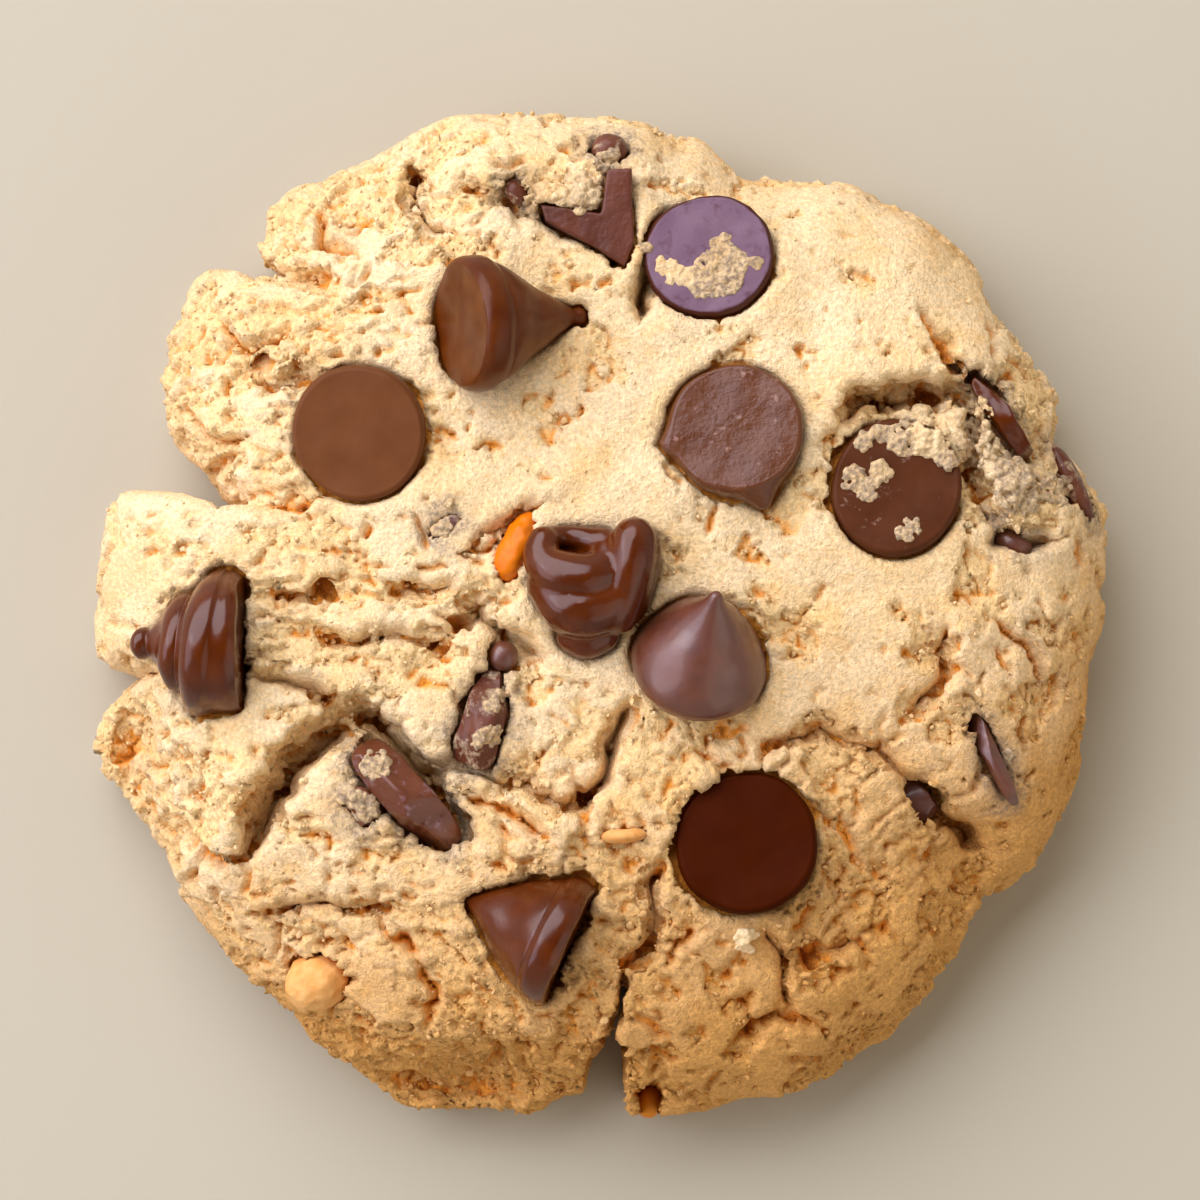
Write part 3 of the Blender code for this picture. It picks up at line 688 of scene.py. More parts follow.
TIERED_FORM = [
    (1.0, 0.0), (0.99, 0.13), (0.94, 0.22), (0.88, 0.235), (0.83, 0.22), (0.78, 0.28), (0.70, 0.42),
    (0.64, 0.58), (0.585, 0.65), (0.53, 0.67), (0.50, 0.665), (0.475, 0.72), (0.43, 0.87), (0.36, 0.97),
    (0.26, 1.0), (0.20, 0.97), (0.10, 0.97), (0.03, 0.93), (0.0, 0.85), (0.0, 0.4), (0.0, 0.0),
]
widest = max(LYING_FORM, key=lambda pair: pair[1])
print(f"a lying chip is widest at {widest[0]:.2f} of its height")

# %% Each turned chip: form, tip direction and rise in degrees, radius, height, second radius's share
TURNED_CHIPS = {
    "chip_disc_left": (DISC_FORM, 40, -81, 0.00512, 0.0092, 0.97),
    "chip_disc_rough": (DISC_FORM, 275, -80, 0.00505, 0.0092, 0.99),
    "chip_disc_bloomed": (DISC_FORM, 285, -82, 0.00492, 0.0088, 0.95),
    "chip_disc_crumbed": (DISC_FORM, 250, -85, 0.00485, 0.0088, 1.08),
    "chip_disc_glossy": (DISC_FORM, 300, -84, 0.00530, 0.0092, 1.0),
    "chip_cone_top": (LYING_FORM, 7, -25, 0.00495, 0.0100, 1.0),
    "chip_cone_upright": (UPRIGHT_FORM, 76, 52, 0.00510, 0.0090, 1.0),
    "chip_cone_lower": (LOWER_FORM, 155, -4, 0.00495, 0.0085, 1.0),
    "chip_swirl_left": (TIERED_FORM, 180, -4, 0.00545, 0.0082, 1.0),
}


def slanted(mesh, height, slant):
    """Tips the tiers, as the drop's thread was laid down in a spiral."""
    points = mesh_points(mesh)
    share = points[:, 2] / height
    reach = np.hypot(points[:, 0], points[:, 1])
    turn = np.arctan2(points[:, 1], points[:, 0])
    points[:, 2] += slant * reach * np.cos(turn - 1.2 - 2.0 * share) * smooth_step(share, 0.02, 0.3)
    move_points(mesh, points)


TIER_SLANT = 0.16
CHIP_LUMP_SIZE, CHIP_LUMP_REACH = 0.0030, 0.00020


def base_share(mesh, radius, height):
    """1 on the flat base inside a ragged rim, else 0. The bloomed disc's mauve face, partly painted
    reflection, uses it.
    """
    points = mesh_points(mesh)
    on_base = smooth_step(points[:, 2], 0.020 * height, 0.008 * height)
    from_rim = radius - np.hypot(points[:, 0], points[:, 1])
    from_rim = from_rim + 0.00012 * rough_noise(points, 0.0011, 2, 33)
    return on_base * smooth_step(from_rim, 0.00026, 0.00044)


def turned_chip(node):
    """One chip of the table, turned, slightly lumpy, tipped its way and set in its solid's place."""
    form, direction, rise, radius, height, second = TURNED_CHIPS[node]
    mesh = turned_mesh(node + "_fine", form, radius, height)
    keep_tone(mesh, np.stack([base_share(mesh, radius, height)] * 4, axis=1))
    if form is TIERED_FORM:
        slanted(mesh, height, TIER_SLANT)
    lumpy(mesh, CHIP_LUMP_SIZE, CHIP_LUMP_REACH, len(node))
    tip_up = Euler((0.0, math.radians(90.0 - rise), math.radians(direction))).to_matrix().to_4x4()
    mesh.transform(tip_up @ Matrix.Diagonal((second, 1.0, 1.0, 1.0)))
    seat(mesh, node)
    return mesh


turned = {node: turned_chip(node) for node in TURNED_CHIPS}
print(f"{len(turned)} turned chips, {sum(len(m.polygons) for m in turned.values())} faces")

# %% [markdown]
# ## The marks of each chip
#
# No two chips are alike: one has a pointed drip and a loose scrap of its moulding edge, one is sandy
# all over, others have a few pits. Drips and scraps are pulled out of the rim in one direction, and
# the sandy face is fine noise, pushed along the normals.

# %% Drips, scraps, grain and pits
def pulled(mesh, direction, spread, reach, low_share):
    """Pulls the rim outwards in one direction, in degrees, most below the face."""
    points = mesh_points(mesh)
    middle = (points.min(axis=0) + points.max(axis=0)) / 2
    away = points - middle
    turn = np.degrees(np.arctan2(away[:, 1], away[:, 0]))
    flat = np.hypot(away[:, 0], away[:, 1])
    below = smooth_step(points[:, 2], points[:, 2].max(), points[:, 2].max() - low_share)
    pull = reach * bell(turn, direction, spread, spread) * (flat / flat.max()) ** 3 * below
    points[:, 0] += pull * np.cos(np.radians(direction))
    points[:, 1] += pull * np.sin(np.radians(direction))
    move_points(mesh, points)


# What is done to which chip, in this order, and its numbers
MARKS = [
    (pulled, "chip_disc_rough", (-69, 12, 0.0013, 0.0012)),
    (pulled, "chip_disc_rough", (187, 12, 0.0010, 0.0010)),
    (lumpy, "chip_disc_rough", (0.0008, 0.00005, 31)),
    (lumpy, "chip_disc_left", (0.0006, 0.000015, 33)),
    (pitted, "chip_disc_left", (0.0005, 0.00006, 0.62, 34)),
    (pitted, "chip_disc_glossy", (0.0009, 0.00005, 0.72, 35)),
    (lumpy, "chip_disc_bloomed", (0.0004, 0.00003, 36)),
    (lumpy, "chip_disc_bloomed", (0.0012, 0.00008, 43)),
    (lumpy, "chip_disc_crumbed", (0.0005, 0.000025, 37)),
    (lumpy, "chip_disc_rough", (0.00030, 0.000022, 40)),
    (pitted, "chip_disc_rough", (0.0012, 0.00025, 0.74, 41)),
    (pitted, "chip_cone_upright", (0.0006, 0.00006, 0.70, 42)),
    (lumpy, "chip_cone_top", (0.0012, 0.00003, 38)),
    (pitted, "chip_cone_top", (0.0006, 0.00006, 0.66, 39)),
]
for mark, node, values in MARKS:
    mark(turned[node], *values)
print(f"{len(MARKS)} marks on {len({node for _, node, _ in MARKS})} chips")

# %% [markdown]
# ## The chip that melted into a heart
#
# One chip softened enough for its coils to slump into each other. The coils are ropes of chocolate, so
# each is a string of overlapping balls along a curve. A voxel remesh melts all the balls into one skin,
# and averaging every point with its neighbours softens the creases to the rounding of real chocolate.

# %% Ropes of balls melted into one skin
def ball_corners(subdivisions):
    """Corners and triangles of a ball of radius 1."""
    form = bmesh.new()
    bmesh.ops.create_icosphere(form, subdivisions=subdivisions, radius=1.0)
    corners = np.array([v.co for v in form.verts])
    triangles = np.array([[v.index for v in f.verts] for f in form.faces])
    form.free()
    return corners, triangles


def softened(name, mesh, voxel, rounds):
    """The mesh wrapped in small even squares, then averaged so that its edges are rounded."""
    obj = placed(name, mesh)
    wrapped(obj, voxel)
    mesh = obj.data
    discard(obj)
    move_points(mesh, relaxed(mesh_points(mesh), mesh_edges(mesh), rounds))
    return mesh


def skin_over(name, balls, voxel, rounds):
    """One smooth skin over balls at (x, y, z, radius)."""
    corners, triangles = ball_corners(2)
    balls = np.array(balls)
    places = balls[:, None, :3] + corners[None] * balls[:, None, 3:]
    faces = triangles[None] + (np.arange(len(balls)) * len(corners))[:, None, None]
    mesh = bpy.data.meshes.new(name)
    mesh.from_pydata(places.reshape(-1, 3).tolist(), [], faces.reshape(-1, 3).tolist())
    return softened(name, mesh, voxel, rounds)


def melted(name, ropes, voxel, rounds):
    """One skin over several ropes, each a closely spaced string of balls along a curve."""
    return skin_over(name, np.vstack([smooth_line(rope, 8) for rope in ropes]), voxel, rounds)


# Millimetres, with heights above the dough round the chip
HEART_ROPES = [
    [(-4.1, 4.5, 1.2, 1.2), (-4.3, 3.5, 1.5, 1.35), (-3.7, 2.5, 1.8, 1.65), (-2.3, 1.9, 2.0, 1.9),
     (-0.8, 1.8, 2.0, 1.9), (0.2, 2.4, 1.7, 1.7), (0.5, 3.5, 1.2, 1.5)],
    [(-3.8, 4.8, 0.9, 0.9), (-2.6, 4.95, 0.4, 0.85), (-1.2, 4.8, 0.5, 0.95), (0.2, 4.4, 0.8, 1.3)],
    [(-2.9, 3.8, -0.9, 1.2), (-1.5, 3.9, -0.6, 1.2), (-0.2, 3.6, 0.2, 1.4)],
    [(2.5, 4.6, 2.1, 1.75), (2.35, 3.4, 2.1, 1.8), (2.15, 2.2, 1.9, 1.8), (1.8, 0.9, 1.4, 1.8),
     (1.2, -0.5, 0.8, 1.8)],
    [(3.0, 4.3, 0.9, 1.45), (3.0, 3.0, 0.9, 1.45), (2.6, 1.4, 0.6, 1.5), (1.9, -0.1, 0.2, 1.6)],
    [(-3.5, 1.4, 0.9, 2.0), (-2.6, 0.4, 1.0, 2.3), (-1.3, -0.2, 1.1, 2.6), (0.2, 0.2, 1.0, 2.4)],
    [(-1.3, -1.3, 2.15, 0.85), (-1.25, -1.25, 2.2, 0.8)],
    [(-2.0, -2.3, -0.3, 1.3), (-1.0, -2.6, -0.2, 1.5), (0.1, -2.2, -0.2, 1.4)],
]
HEART_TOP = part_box("chip_heart")[1].z
MM = 0.001


def heart_mesh():
    """The melted chip, its highest coil level with the top of its solid."""
    highest = max(z + radius for rope in HEART_ROPES for _, _, z, radius in rope) * MM
    ropes = [[(x * MM, y * MM, z * MM + HEART_TOP - highest, r * MM) for x, y, z, r in rope]
             for rope in HEART_ROPES]
    mesh = melted("chip_heart_fine", ropes, 0.00015, 7)
    lumpy(mesh, 0.0022, 0.00008, 41)
    return mesh


heart = heart_mesh()
across = [round(v * 1000, 1) for v in mesh_points(heart).ptp(axis=0)]
print(f"heart: {len(heart.polygons)} faces, {across} mm")

# %% [markdown]
# ## Half-buried scraps
#
# Other chips broke or sank, and only a curl, a nub or a sliver shows. Each stands in for a solid of the
# frame and keeps its length, width and direction: a ball with many faces, stretched and tapered, then
# flattened a little here and there by noise so that it looks snapped and worn instead of turned.

# %% Scraps: direction in degrees, length, width, thickness, taper, unevenness
SCRAPS = {
    "chip_broken_nub": (0, 0.0026, 0.0024, 0.0024, 0.0, 0.00010),
    "chip_broken_patch": (120, 0.0020, 0.0014, 0.0016, 0.0, 0.00012),
    "chip_edge_curl": (-55, 0.0078, 0.0019, 0.0036, 0.2, 0.00012),
    "chip_rim": (-62, 0.0062, 0.0019, 0.0034, 0.2, 0.00012),
    "chip_in_crack": (-30, 0.0031, 0.0018, 0.0028, 0.0, 0.00012),
    "chip_fragment_nub": (80, 0.0022, 0.0021, 0.0024, 0.0, 0.00010),
    "chip_fragment": (73, 0.0074, 0.0040, 0.0040, 0.45, 0.00022),
    "chip_diagonal": (-49, 0.0100, 0.0032, 0.0060, -0.15, 0.00018),
    "chip_diagonal_stub": (-40, 0.0032, 0.0024, 0.0032, 0.0, 0.00014),
    "chip_sliver": (-64, 0.0080, 0.0017, 0.0034, 0.5, 0.00010),
    "chip_in_hollow": (-50, 0.0036, 0.0022, 0.0030, 0.0, 0.00012),
    "chip_buried": (35, 0.0026, 0.0014, 0.0018, 0.0, 0.00008),
    "butterscotch_piece": (68, 0.0054, 0.0026, 0.0036, 0.2, 0.00030),
    "butterscotch_foot": (80, 0.0024, 0.0018, 0.0026, 0.0, 0.00010),
    "peanut_lump": (10, 0.0047, 0.0041, 0.0036, 0.0, 0.00034),
    "peanut_sliver": (3, 0.0034, 0.0010, 0.0018, 0.0, 0.00026),
}


# The lower the power, the boxier the scrap, and a scrap below the even power also gets flat facets
EVEN_POWER = 0.9
POWERS = {"chip_diagonal": 0.5, "chip_fragment": 0.5, "chip_sliver": 0.7, "chip_edge_curl": 0.75,
          "chip_in_hollow": 0.6, "chip_diagonal_stub": 0.6, "peanut_lump": 0.95}
FACETS = 6


def snapped(mesh, half, rng):
    """Presses the points beyond a few random planes flat onto them, as where chocolate snapped."""
    for _ in range(FACETS):
        facing = rng.normal(size=3)
        facing[2] = 0.3 + abs(facing[2])
        facing /= np.linalg.norm(facing)
        beyond = mesh_points(mesh) @ facing - rng.uniform(0.66, 0.86) * np.linalg.norm(half * facing)
        move_points(mesh, mesh_points(mesh) - np.maximum(beyond, 0.0)[:, None] * facing)


def scrap_mesh(node):
    """One scrap of the table: a ball made boxier, tapered, snapped and roughened."""
    direction, length, width, depth, taper, uneven = SCRAPS[node]
    power = POWERS.get(node, EVEN_POWER)
    form = bmesh.new()
    bmesh.ops.create_icosphere(form, subdivisions=5 if length > 0.004 else 4, radius=0.5)
    mesh = finished_mesh(form, node + "_fine")
    points = mesh_points(mesh)
    bulge = np.abs(points) ** power * np.sign(points) * 0.5 ** (1.0 - power)
    narrowing = 1.0 - taper * (points[:, 2] + 0.5)
    across, up = bulge[:, 0] * narrowing, bulge[:, 1] * narrowing
    move_points(mesh, np.stack([bulge[:, 2] * length, across * width, up * depth], axis=1))
    if power < EVEN_POWER:
        snapped(mesh, np.array([length, width, depth]) / 2.0, np.random.default_rng(len(node)))
    lumpy(mesh, 0.0016, uneven, len(node) + 50)
    lumpy(mesh, 0.0006, uneven * 0.35, len(node) + 60)
    mesh.transform(Matrix.Rotation(math.radians(direction), 4, "Z"))
    seat(mesh, node)
    return mesh


scraps = {node: scrap_mesh(node) for node in SCRAPS}
print(f"{len(scraps)} scraps")

# %% [markdown]
# ## The broken chip
#
# One chip snapped flat into an L and shows its matte inside. Its outline comes straight from the solid:
# the solid's own mesh is remeshed finely and smoothed, which rounds its edges as handling does, and a
# little noise roughens the snapped face.

# %% Broken chip
broken = softened("chip_broken_fine", frame["nodes"]["chip_broken"].data.copy(), 0.00010, 2)
lumpy(broken, 0.0014, 0.00010, 71)
lumpy(broken, 0.0003, 0.00002, 72)
chip_meshes = {**turned, **scraps, "chip_heart": heart, "chip_broken": broken}
print(f"broken chip: {len(broken.polygons)} faces; {len(chip_meshes)} chips and scraps in all")

# %% [markdown]
# ## Making room for the chips
#
# Chips were pushed into soft dough, so the dough stops at each chip: nothing of it lies over a face,
# a narrow gap runs round the edge, and just outside it the dough stands up in a soft lip. A ray from
# above finds any dough that lies over a chip, and the nearest point on a chip gives the distance that
# the gap and the lip follow.

# %% Distances to the chips
STAINING_CHIPS = ["chip_fragment", "chip_diagonal", "chip_diagonal_stub", "chip_sliver", "chip_edge_curl",
                  "chip_buried", "chip_broken_nub", "chip_rim", "chip_broken_patch", "chip_in_crack"]


def tree_of(meshes):
    """One search tree over several meshes."""
    corners, faces = [], []
    for mesh in meshes:
        start = len(corners)
        corners += [v.co.copy() for v in mesh.vertices]
        faces += [[start + i for i in p.vertices] for p in mesh.polygons]
    return BVHTree.FromPolygons(corners, faces)


def distance_to(tree, points, reach):
    """Distance of each point to the tree's surface, and reach where it is farther."""
    away = np.full(len(points), reach)
    for index, point in enumerate(points):
        distance = tree.find_nearest(Vector(point), reach)[3]
        if distance is not None:
            away[index] = distance
    return away


def height_of_chips(tree, points):
    """Height of the chip surface above or below each point, and -1 where there is none."""
    height = np.full(len(points), -1.0)
    for index, (x, y, _) in enumerate(points):
        hit = tree.ray_cast(Vector((x, y, 0.1)), Vector((0.0, 0.0, -1.0)))[0]
        if hit is not None:
            height[index] = hit.z
    return height


COVER_DEPTH = 0.0012
chips_tree = tree_of(chip_meshes.values())
points = mesh_points(dough.data)
edges = mesh_edges(dough.data)
chip_top = height_of_chips(chips_tree, points)
covering = (chip_top > 0.0) & (points[:, 2] > chip_top - COVER_DEPTH) & (points[:, 2] > 0.004)
points[covering, 2] = chip_top[covering] - COVER_DEPTH
print(f"{covering.sum()} points of dough lowered under the chips")

# %% Gap and lip round every chip that isn't grown over
EMBEDDED = {"chip_buried", "butterscotch_piece", "butterscotch_foot", "peanut_lump", "peanut_sliver",
            "chip_broken_patch", "chip_diagonal_stub", "chip_rim", "chip_in_crack"}
GAP_REACH = 0.0005
GAP_DEPTH = 0.0007
LIP_AT = 0.0012
LIP_HEIGHT = 0.00012
open_tree = tree_of([mesh for node, mesh in chip_meshes.items() if node not in EMBEDDED])
chip_distance = distance_to(open_tree, points, 0.0040)
nearby = smooth_step(chip_distance, 0.0009, 0.0003)[:, None]
points = points + nearby * (relaxed(points, edges, 4) - points)
move_points(dough.data, points)
normals = mesh_normals(dough.data)
chip_distance = distance_to(open_tree, points, 0.0040)
gap = GAP_DEPTH * smooth_step(chip_distance, GAP_REACH, 0.0)
lip = LIP_HEIGHT * np.exp(-((chip_distance - LIP_AT) / 0.0006) ** 2)
on_top = smooth_step(points[:, 2], 0.004, 0.008)
points = points + normals * ((lip - gap) * on_top)[:, None]
move_points(dough.data, points)
print(f"nearest dough to a chip: {chip_distance.min() * 1000:.2f} mm")

# %% [markdown]
# ## Plates of crust
#
# The crust is a thin dry skin. Where it held, the surface is nearly smooth and pale. Where it tore,
# the coarse golden crumb below it shows, half a millimetre lower. A noise field decides where: above a
# threshold there is skin and below it crumb, which gives plates with sharp, wandering edges. A second,
# finer field breaks small scales off the plates. How much tore is listed for each part of the cookie,
# and the noise is stretched sideways on the left, where the crust slid into long flakes.

# %% How torn each region is: x, y and radius in millimetres, and the share added
TORN_EVERYWHERE = 0.03
TORN_REGIONS = [
    (-29, 18, 10, 0.17), (-17, 29, 8, 0.15), (-8, 33, 7, 0.12), (-20, -1, 7, 0.13), (-10, 1, 6, 0.09),
    (-30, -12, 8, 0.16), (-17, -28, 12, 0.18), (-2, -16, 6, 0.16), (6, -32, 12, 0.18),
    (19, -16, 6, 0.2), (8, -9, 4, 0.14), (29, 12, 6, 0.22), (-8, -32, 6, 0.18), (20, 16, 4, 0.16),
    (20, -26, 9, 0.14), (32, -3, 6, 0.12), (14, 20, 9, -0.16), (22, -1, 7, -0.12), (1, 11, 7, -0.1),
    (-11, 6, 4, -0.16), (10, -33, 6, -0.12), (20, 27, 8, -0.03),
]


def torn_bias(points):
    """How much more than usual the crust is torn at each point."""
    bias = np.full(len(points), TORN_EVERYWHERE)
    for *place, share in TORN_REGIONS:
        cx, cy, radius = metres(place)
        away = ((points[:, 0] - cx) ** 2 + (points[:, 1] - cy) ** 2) / radius ** 2
        bias += share * np.exp(-away)
    flank = smooth_step(points[:, 2], 0.012, 0.006)
    return bias + 0.12 * flank


def skin_share(points, bias):
    """1 where the skin is whole, 0 where it is torn off, and the same for the small scales."""
    plain = rough_noise(points, 0.0046, 4, 40)
    flaky = rough_noise(points, (0.0080, 0.0024, 0.0030), 4, 50)
    left = smooth_step(points[:, 0], -0.003, -0.014)
    field = plain + left * (flaky - plain)
    plates = smooth_step(field + 0.28 - 1.6 * bias, -0.03, 0.03)
    small = rough_noise(points, (0.0017, 0.0014, 0.0015), 2, 55)
    scales = smooth_step(small + 0.42 - 1.1 * bias, -0.04, 0.04)
    return plates, scales


probe = mesh_points(dough.data)[::50]
print(f"skin still whole: {skin_share(probe, torn_bias(probe))[0].mean():.2f} of the crust")

# %% [markdown]
# ## Tears
#
# While the dough swells, the dry skin opens in hundreds of short tears a few millimetres long. They
# aren't random lines: near the rim they run along it, because the crust stretched outwards there, and
# on the left they lie sideways. Each is drawn like the deep cracks above, a wandering line with a
# width, a depth and a bank, but its numbers come from a seeded draw, so they are the same every time.

# %% Draw the tears
TEAR_COUNT = 460
TEAR_LENGTHS = (0.0009, 0.0046)
TEAR_HALF_WIDTHS = (0.00016, 0.00046)
TEAR_DEPTHS = (1.4, 2.7)        # in half widths
TEAR_BANK = 0.45                # as a share of the depth
TEAR_SEED = 12
RIM_STARTS = 0.020              # from here out, tears run along the rim


def draw_tears():
    """Half width, depth, bank and route of every drawn tear."""
    rng = np.random.default_rng(TEAR_SEED)
    tears = []
    while len(tears) < TEAR_COUNT:
        x, y = rng.uniform(-MEAN_RADIUS, MEAN_RADIUS, 2)
        away = math.hypot(x, y)
        bias = torn_bias(np.array([[x, y, 0.015]]))[0]
        if away > MEAN_RADIUS or rng.uniform() > 0.12 + 2.2 * bias:
            continue
        heading = rng.uniform(0.0, 2 * math.pi)
        if away > RIM_STARTS:
            heading = math.atan2(y, x) + math.pi / 2 + rng.normal(0.0, 0.6)
        if x < -0.004 and abs(y) < 0.010:
            heading = rng.normal(0.0, 0.35)
        low, high = TEAR_LENGTHS
        length = low * (high / low) ** rng.uniform() * (0.6 + 1.6 * max(bias, 0.0))
        route = [(x, y)]
        for _ in range(4):
            heading += rng.normal(0.0, 0.5)
            x, y = x + length / 4 * math.cos(heading), y + length / 4 * math.sin(heading)
            route.append((x, y))
        half_width = rng.uniform(*TEAR_HALF_WIDTHS) * (0.6 + 0.4 * length / high)
        depth = half_width * rng.uniform(*TEAR_DEPTHS)
        tears.append((half_width, depth, rng.uniform(-TEAR_BANK, TEAR_BANK) * depth, route))
    return tears


# Fine cracks that stand out in the photograph, drawn one by one, in millimetres as above
SHOWN_CRACKS = metres([
    (0.3, 0.9, 0.1, [(8.7, 7.5), (7.8, 5.1)]),
    (0.3, 0.9, 0.1, [(-13.7, 6.8), (-12.9, 5.1), (-12.4, 4)]),
    (0.35, 1.2, 0.3, [(-9.5, 4.7), (-8.5, 4), (-4.2, 7.5)]),
    (0.25, 0.7, 0, [(7.8, -9.4), (7.8, -11.4)]),
    (0.25, 0.7, 0, [(10.2, -9.5), (10.8, -11.2)]),
    (0.4, 1.2, 0.3, [(26.4, 17), (24.9, 19.6), (23.5, 22.1)]),
    (0.3, 0.8, 0.2, [(19, -24.2), (19.8, -25.6)]),
    (0.35, 1, 0.1, [(17.6, -15.3), (19.3, -19.4)]),
    (0.4, 1.4, 0.4, [(-31.2, 15), (-28.5, 12), (-26.2, 12.6)]),
    (0.4, 1.4, 0.4, [(-28.5, 21.5), (-26.2, 19), (-22.8, 20.8)]),
    (0.45, 1.6, 0.5, [(-20.8, 30), (-20.5, 27.2), (-18, 26.2)]),
    (0.45, 1.6, 0.4, [(-13.5, -26), (-12, -28.5), (-12.8, -31)]),
    (0.45, 1.6, -0.4, [(10, -32), (13, -30), (16.5, -31)]),
    (0.4, 1.3, 0.4, [(29, -1), (32, -3), (33, -6)]),
    (0.55, 1.8, 0.4, [(-10.6, -13.8), (-7, -14.6), (-3.4, -17.4)]),
    (0.5, 1.6, 0.4, [(-32, -15), (-29, -18.5), (-27, -19)]),
])


FINE = {"run_out": 4.0, "least": 0.25, "narrow": 0.4, "widen": 0.9, "deepen": 1.0, "wall": 0.6,
        "bank_reach": 0.0011}
NEAR_A_TEAR = 0.004


def local_cracks(points, cracks):
    """Height that many small cracks add, each worked out only for the points near it."""
    height = np.zeros(len(points))
    for crack in cracks:
        route = np.array(crack[3])
        low, high = route.min(axis=0) - NEAR_A_TEAR, route.max(axis=0) + NEAR_A_TEAR
        near = np.nonzero(((points[:, :2] > low) & (points[:, :2] < high)).all(axis=1))[0]
        sunk, raised = crack_relief(points[near, 0], points[near, 1], crack, **FINE)
        height[near] -= sunk
        height[near] += raised
    return height


tears = draw_tears() + SHOWN_CRACKS
longest = max(math.dist(route[0], route[-1]) for *_, route in tears)
print(f"{len(tears)} tears, the longest {longest * 1000:.1f} mm")

# %% [markdown]
# ## Flakes and chunks
#
# Between the tears the torn crumb isn't made of round grains. It broke in flakes, thin and stepped,
# and in angular chunks with dark lines between them. Rounding a smooth field down to whole steps gives
# the flakes, like the terraces of a rice field. Lines where another field crosses zero wander and meet
# at sharp angles, so sinking the surface along them gives the chunks.

# %% Push the crust's relief out of the even body
PLATE_STEP = 0.00030
SCALE_STEP = 0.00011
FLAKE_HEIGHT = 0.00082
FLAKE_RISE = 0.16
FLAKE_STRETCH = (-0.35, 0.45, 0.2)
CHUNK_DEPTH = 0.00060
LUMP = 0.00032
GRAIN = 0.00014


def terraced(field, rise, ramp):
    """Rounds a smooth field down to treads with short steep steps between them."""
    level = field / rise
    tread = np.floor(level)
    return rise * (tread + smooth_step(level - tread, 1.0 - ramp, 1.0))


def valleys(points, size, width, octaves, seed):
    """1 along the lines where noise crosses zero, falling to 0 beside them."""
    return smooth_step(np.abs(rough_noise(points, size, octaves, seed)), width, 0.0)


def fine_relief(points, bias):
    """Height to push each point out along its normal, and how torn the crust is there."""
    plates, scales = skin_share(points, bias)
    torn = 1.0 - plates * (0.45 + 0.55 * scales)
    left = smooth_step(points[:, 0], -0.003, -0.014)[:, None]
    stretched = points * (1.0 + left * np.array([FLAKE_STRETCH]))
    flakes = terraced(rough_noise(stretched, 0.0034, 4, 60), FLAKE_RISE, 0.25)
    coarse, fine = valleys(stretched, 0.0030, 0.10, 3, 64), valleys(points, 0.0014, 0.12, 2, 67)
    chunks = np.maximum(coarse, 0.45 * fine)
    height = PLATE_STEP * plates + SCALE_STEP * scales * plates
    height += FLAKE_HEIGHT * flakes * (0.07 + 0.50 * torn)
    height -= CHUNK_DEPTH * chunks * (0.04 + 0.80 * torn)
    height += LUMP * rough_noise(points, 0.0022, 3, 70) * (0.14 + 0.45 * torn)
    height += GRAIN * rough_noise(points, 0.0008, 2, 74) * (0.30 + 0.40 * torn)
    return height, torn


points = mesh_points(dough.data)
wander = np.stack([0.00030 * smooth_noise(points, 0.0010, seed) for seed in (71, 72, 73)], axis=1)
normals = mesh_normals(dough.data)
bias = torn_bias(points)
height, torn = fine_relief(points + wander, bias)
height += local_cracks(points + wander, tears) * smooth_step(points[:, 2], 0.004, 0.009)
calm = (0.35 + 0.65 * smooth_step(chip_distance, 0.0001, 0.0007)) * ~covering
above_foot = smooth_step(points[:, 2], 0.0002, 0.0012)
upright = np.array([0.0, 0.0, 0.35])
ways = normals * 0.65 + upright * smooth_step(normals[:, 2], 0.2, 0.7)[:, None]
ways /= np.linalg.norm(ways, axis=1)[:, None]
points += ways * (height * calm * above_foot)[:, None]
points[:, 2] = np.maximum(points[:, 2], 0.0)
move_points(dough.data, points)
print(f"torn share of the crust: {torn.mean():.2f}")

# %% [markdown]
# ## Spend faces where they show
#
# The even squares are as dense on calm skin and on hidden walls as on the crumb. Collapsing edges
# merges faces where the surface is flat first, so the sharp tears keep theirs.

# %% Thin out the calm parts
DOUGH_TRIANGLES = 360000
count = sum(len(p.vertices) - 2 for p in dough.data.polygons)
thin = dough.modifiers.new("thin", "DECIMATE")
thin.ratio = min(1.0, DOUGH_TRIANGLES / count)
apply_modifiers(dough)
print(f"{count} triangles thinned to {len(dough.data.polygons)} faces")

# %% [markdown]
# ## Where the colour changes
#
# Baked colour follows shape, and so does painted shade. Hollows hold golden crumb, and light bounces
# in them several times. So the hollows are painted orange, and brown where they are deep: painted
# shade and bounced light. The thin lower flank browns against the hot tray. The lower right, the side
# turned away from the window, is painted a darker tan: real browning and painted shade. So the shape
# is measured and kept with each point of the mesh as a four-part colour named tone: how hollow, which
# sets the painted shade of the hollows, how torn, how browned and shaded, and how stained by
# chocolate. The material reads it later.

# %% Measure hollows for their painted shade, browning with the lower right's painted shade, and stains
points = mesh_points(dough.data)
edges = mesh_edges(dough.data)
normals = mesh_normals(dough.data)
near_mean = relaxed(points, edges, 4)
wide_mean = relaxed(near_mean, edges, 90)
small_hollow = ((near_mean - points) * normals).sum(axis=1)
large_hollow = ((wide_mean - points) * normals).sum(axis=1)
# How hollow a point is sets painted shade: orange for light bounced in hollows, brown in deep ones.
hollow = 0.32 * smooth_step(small_hollow, 0.00001, 0.00009)
hollow += 0.95 * smooth_step(large_hollow, 0.00012, 0.0007)
hollow = relaxed(np.clip(hollow, 0.0, 1.0)[:, None], edges, 1)[:, 0]
torn = fine_relief(points, torn_bias(points))[1]
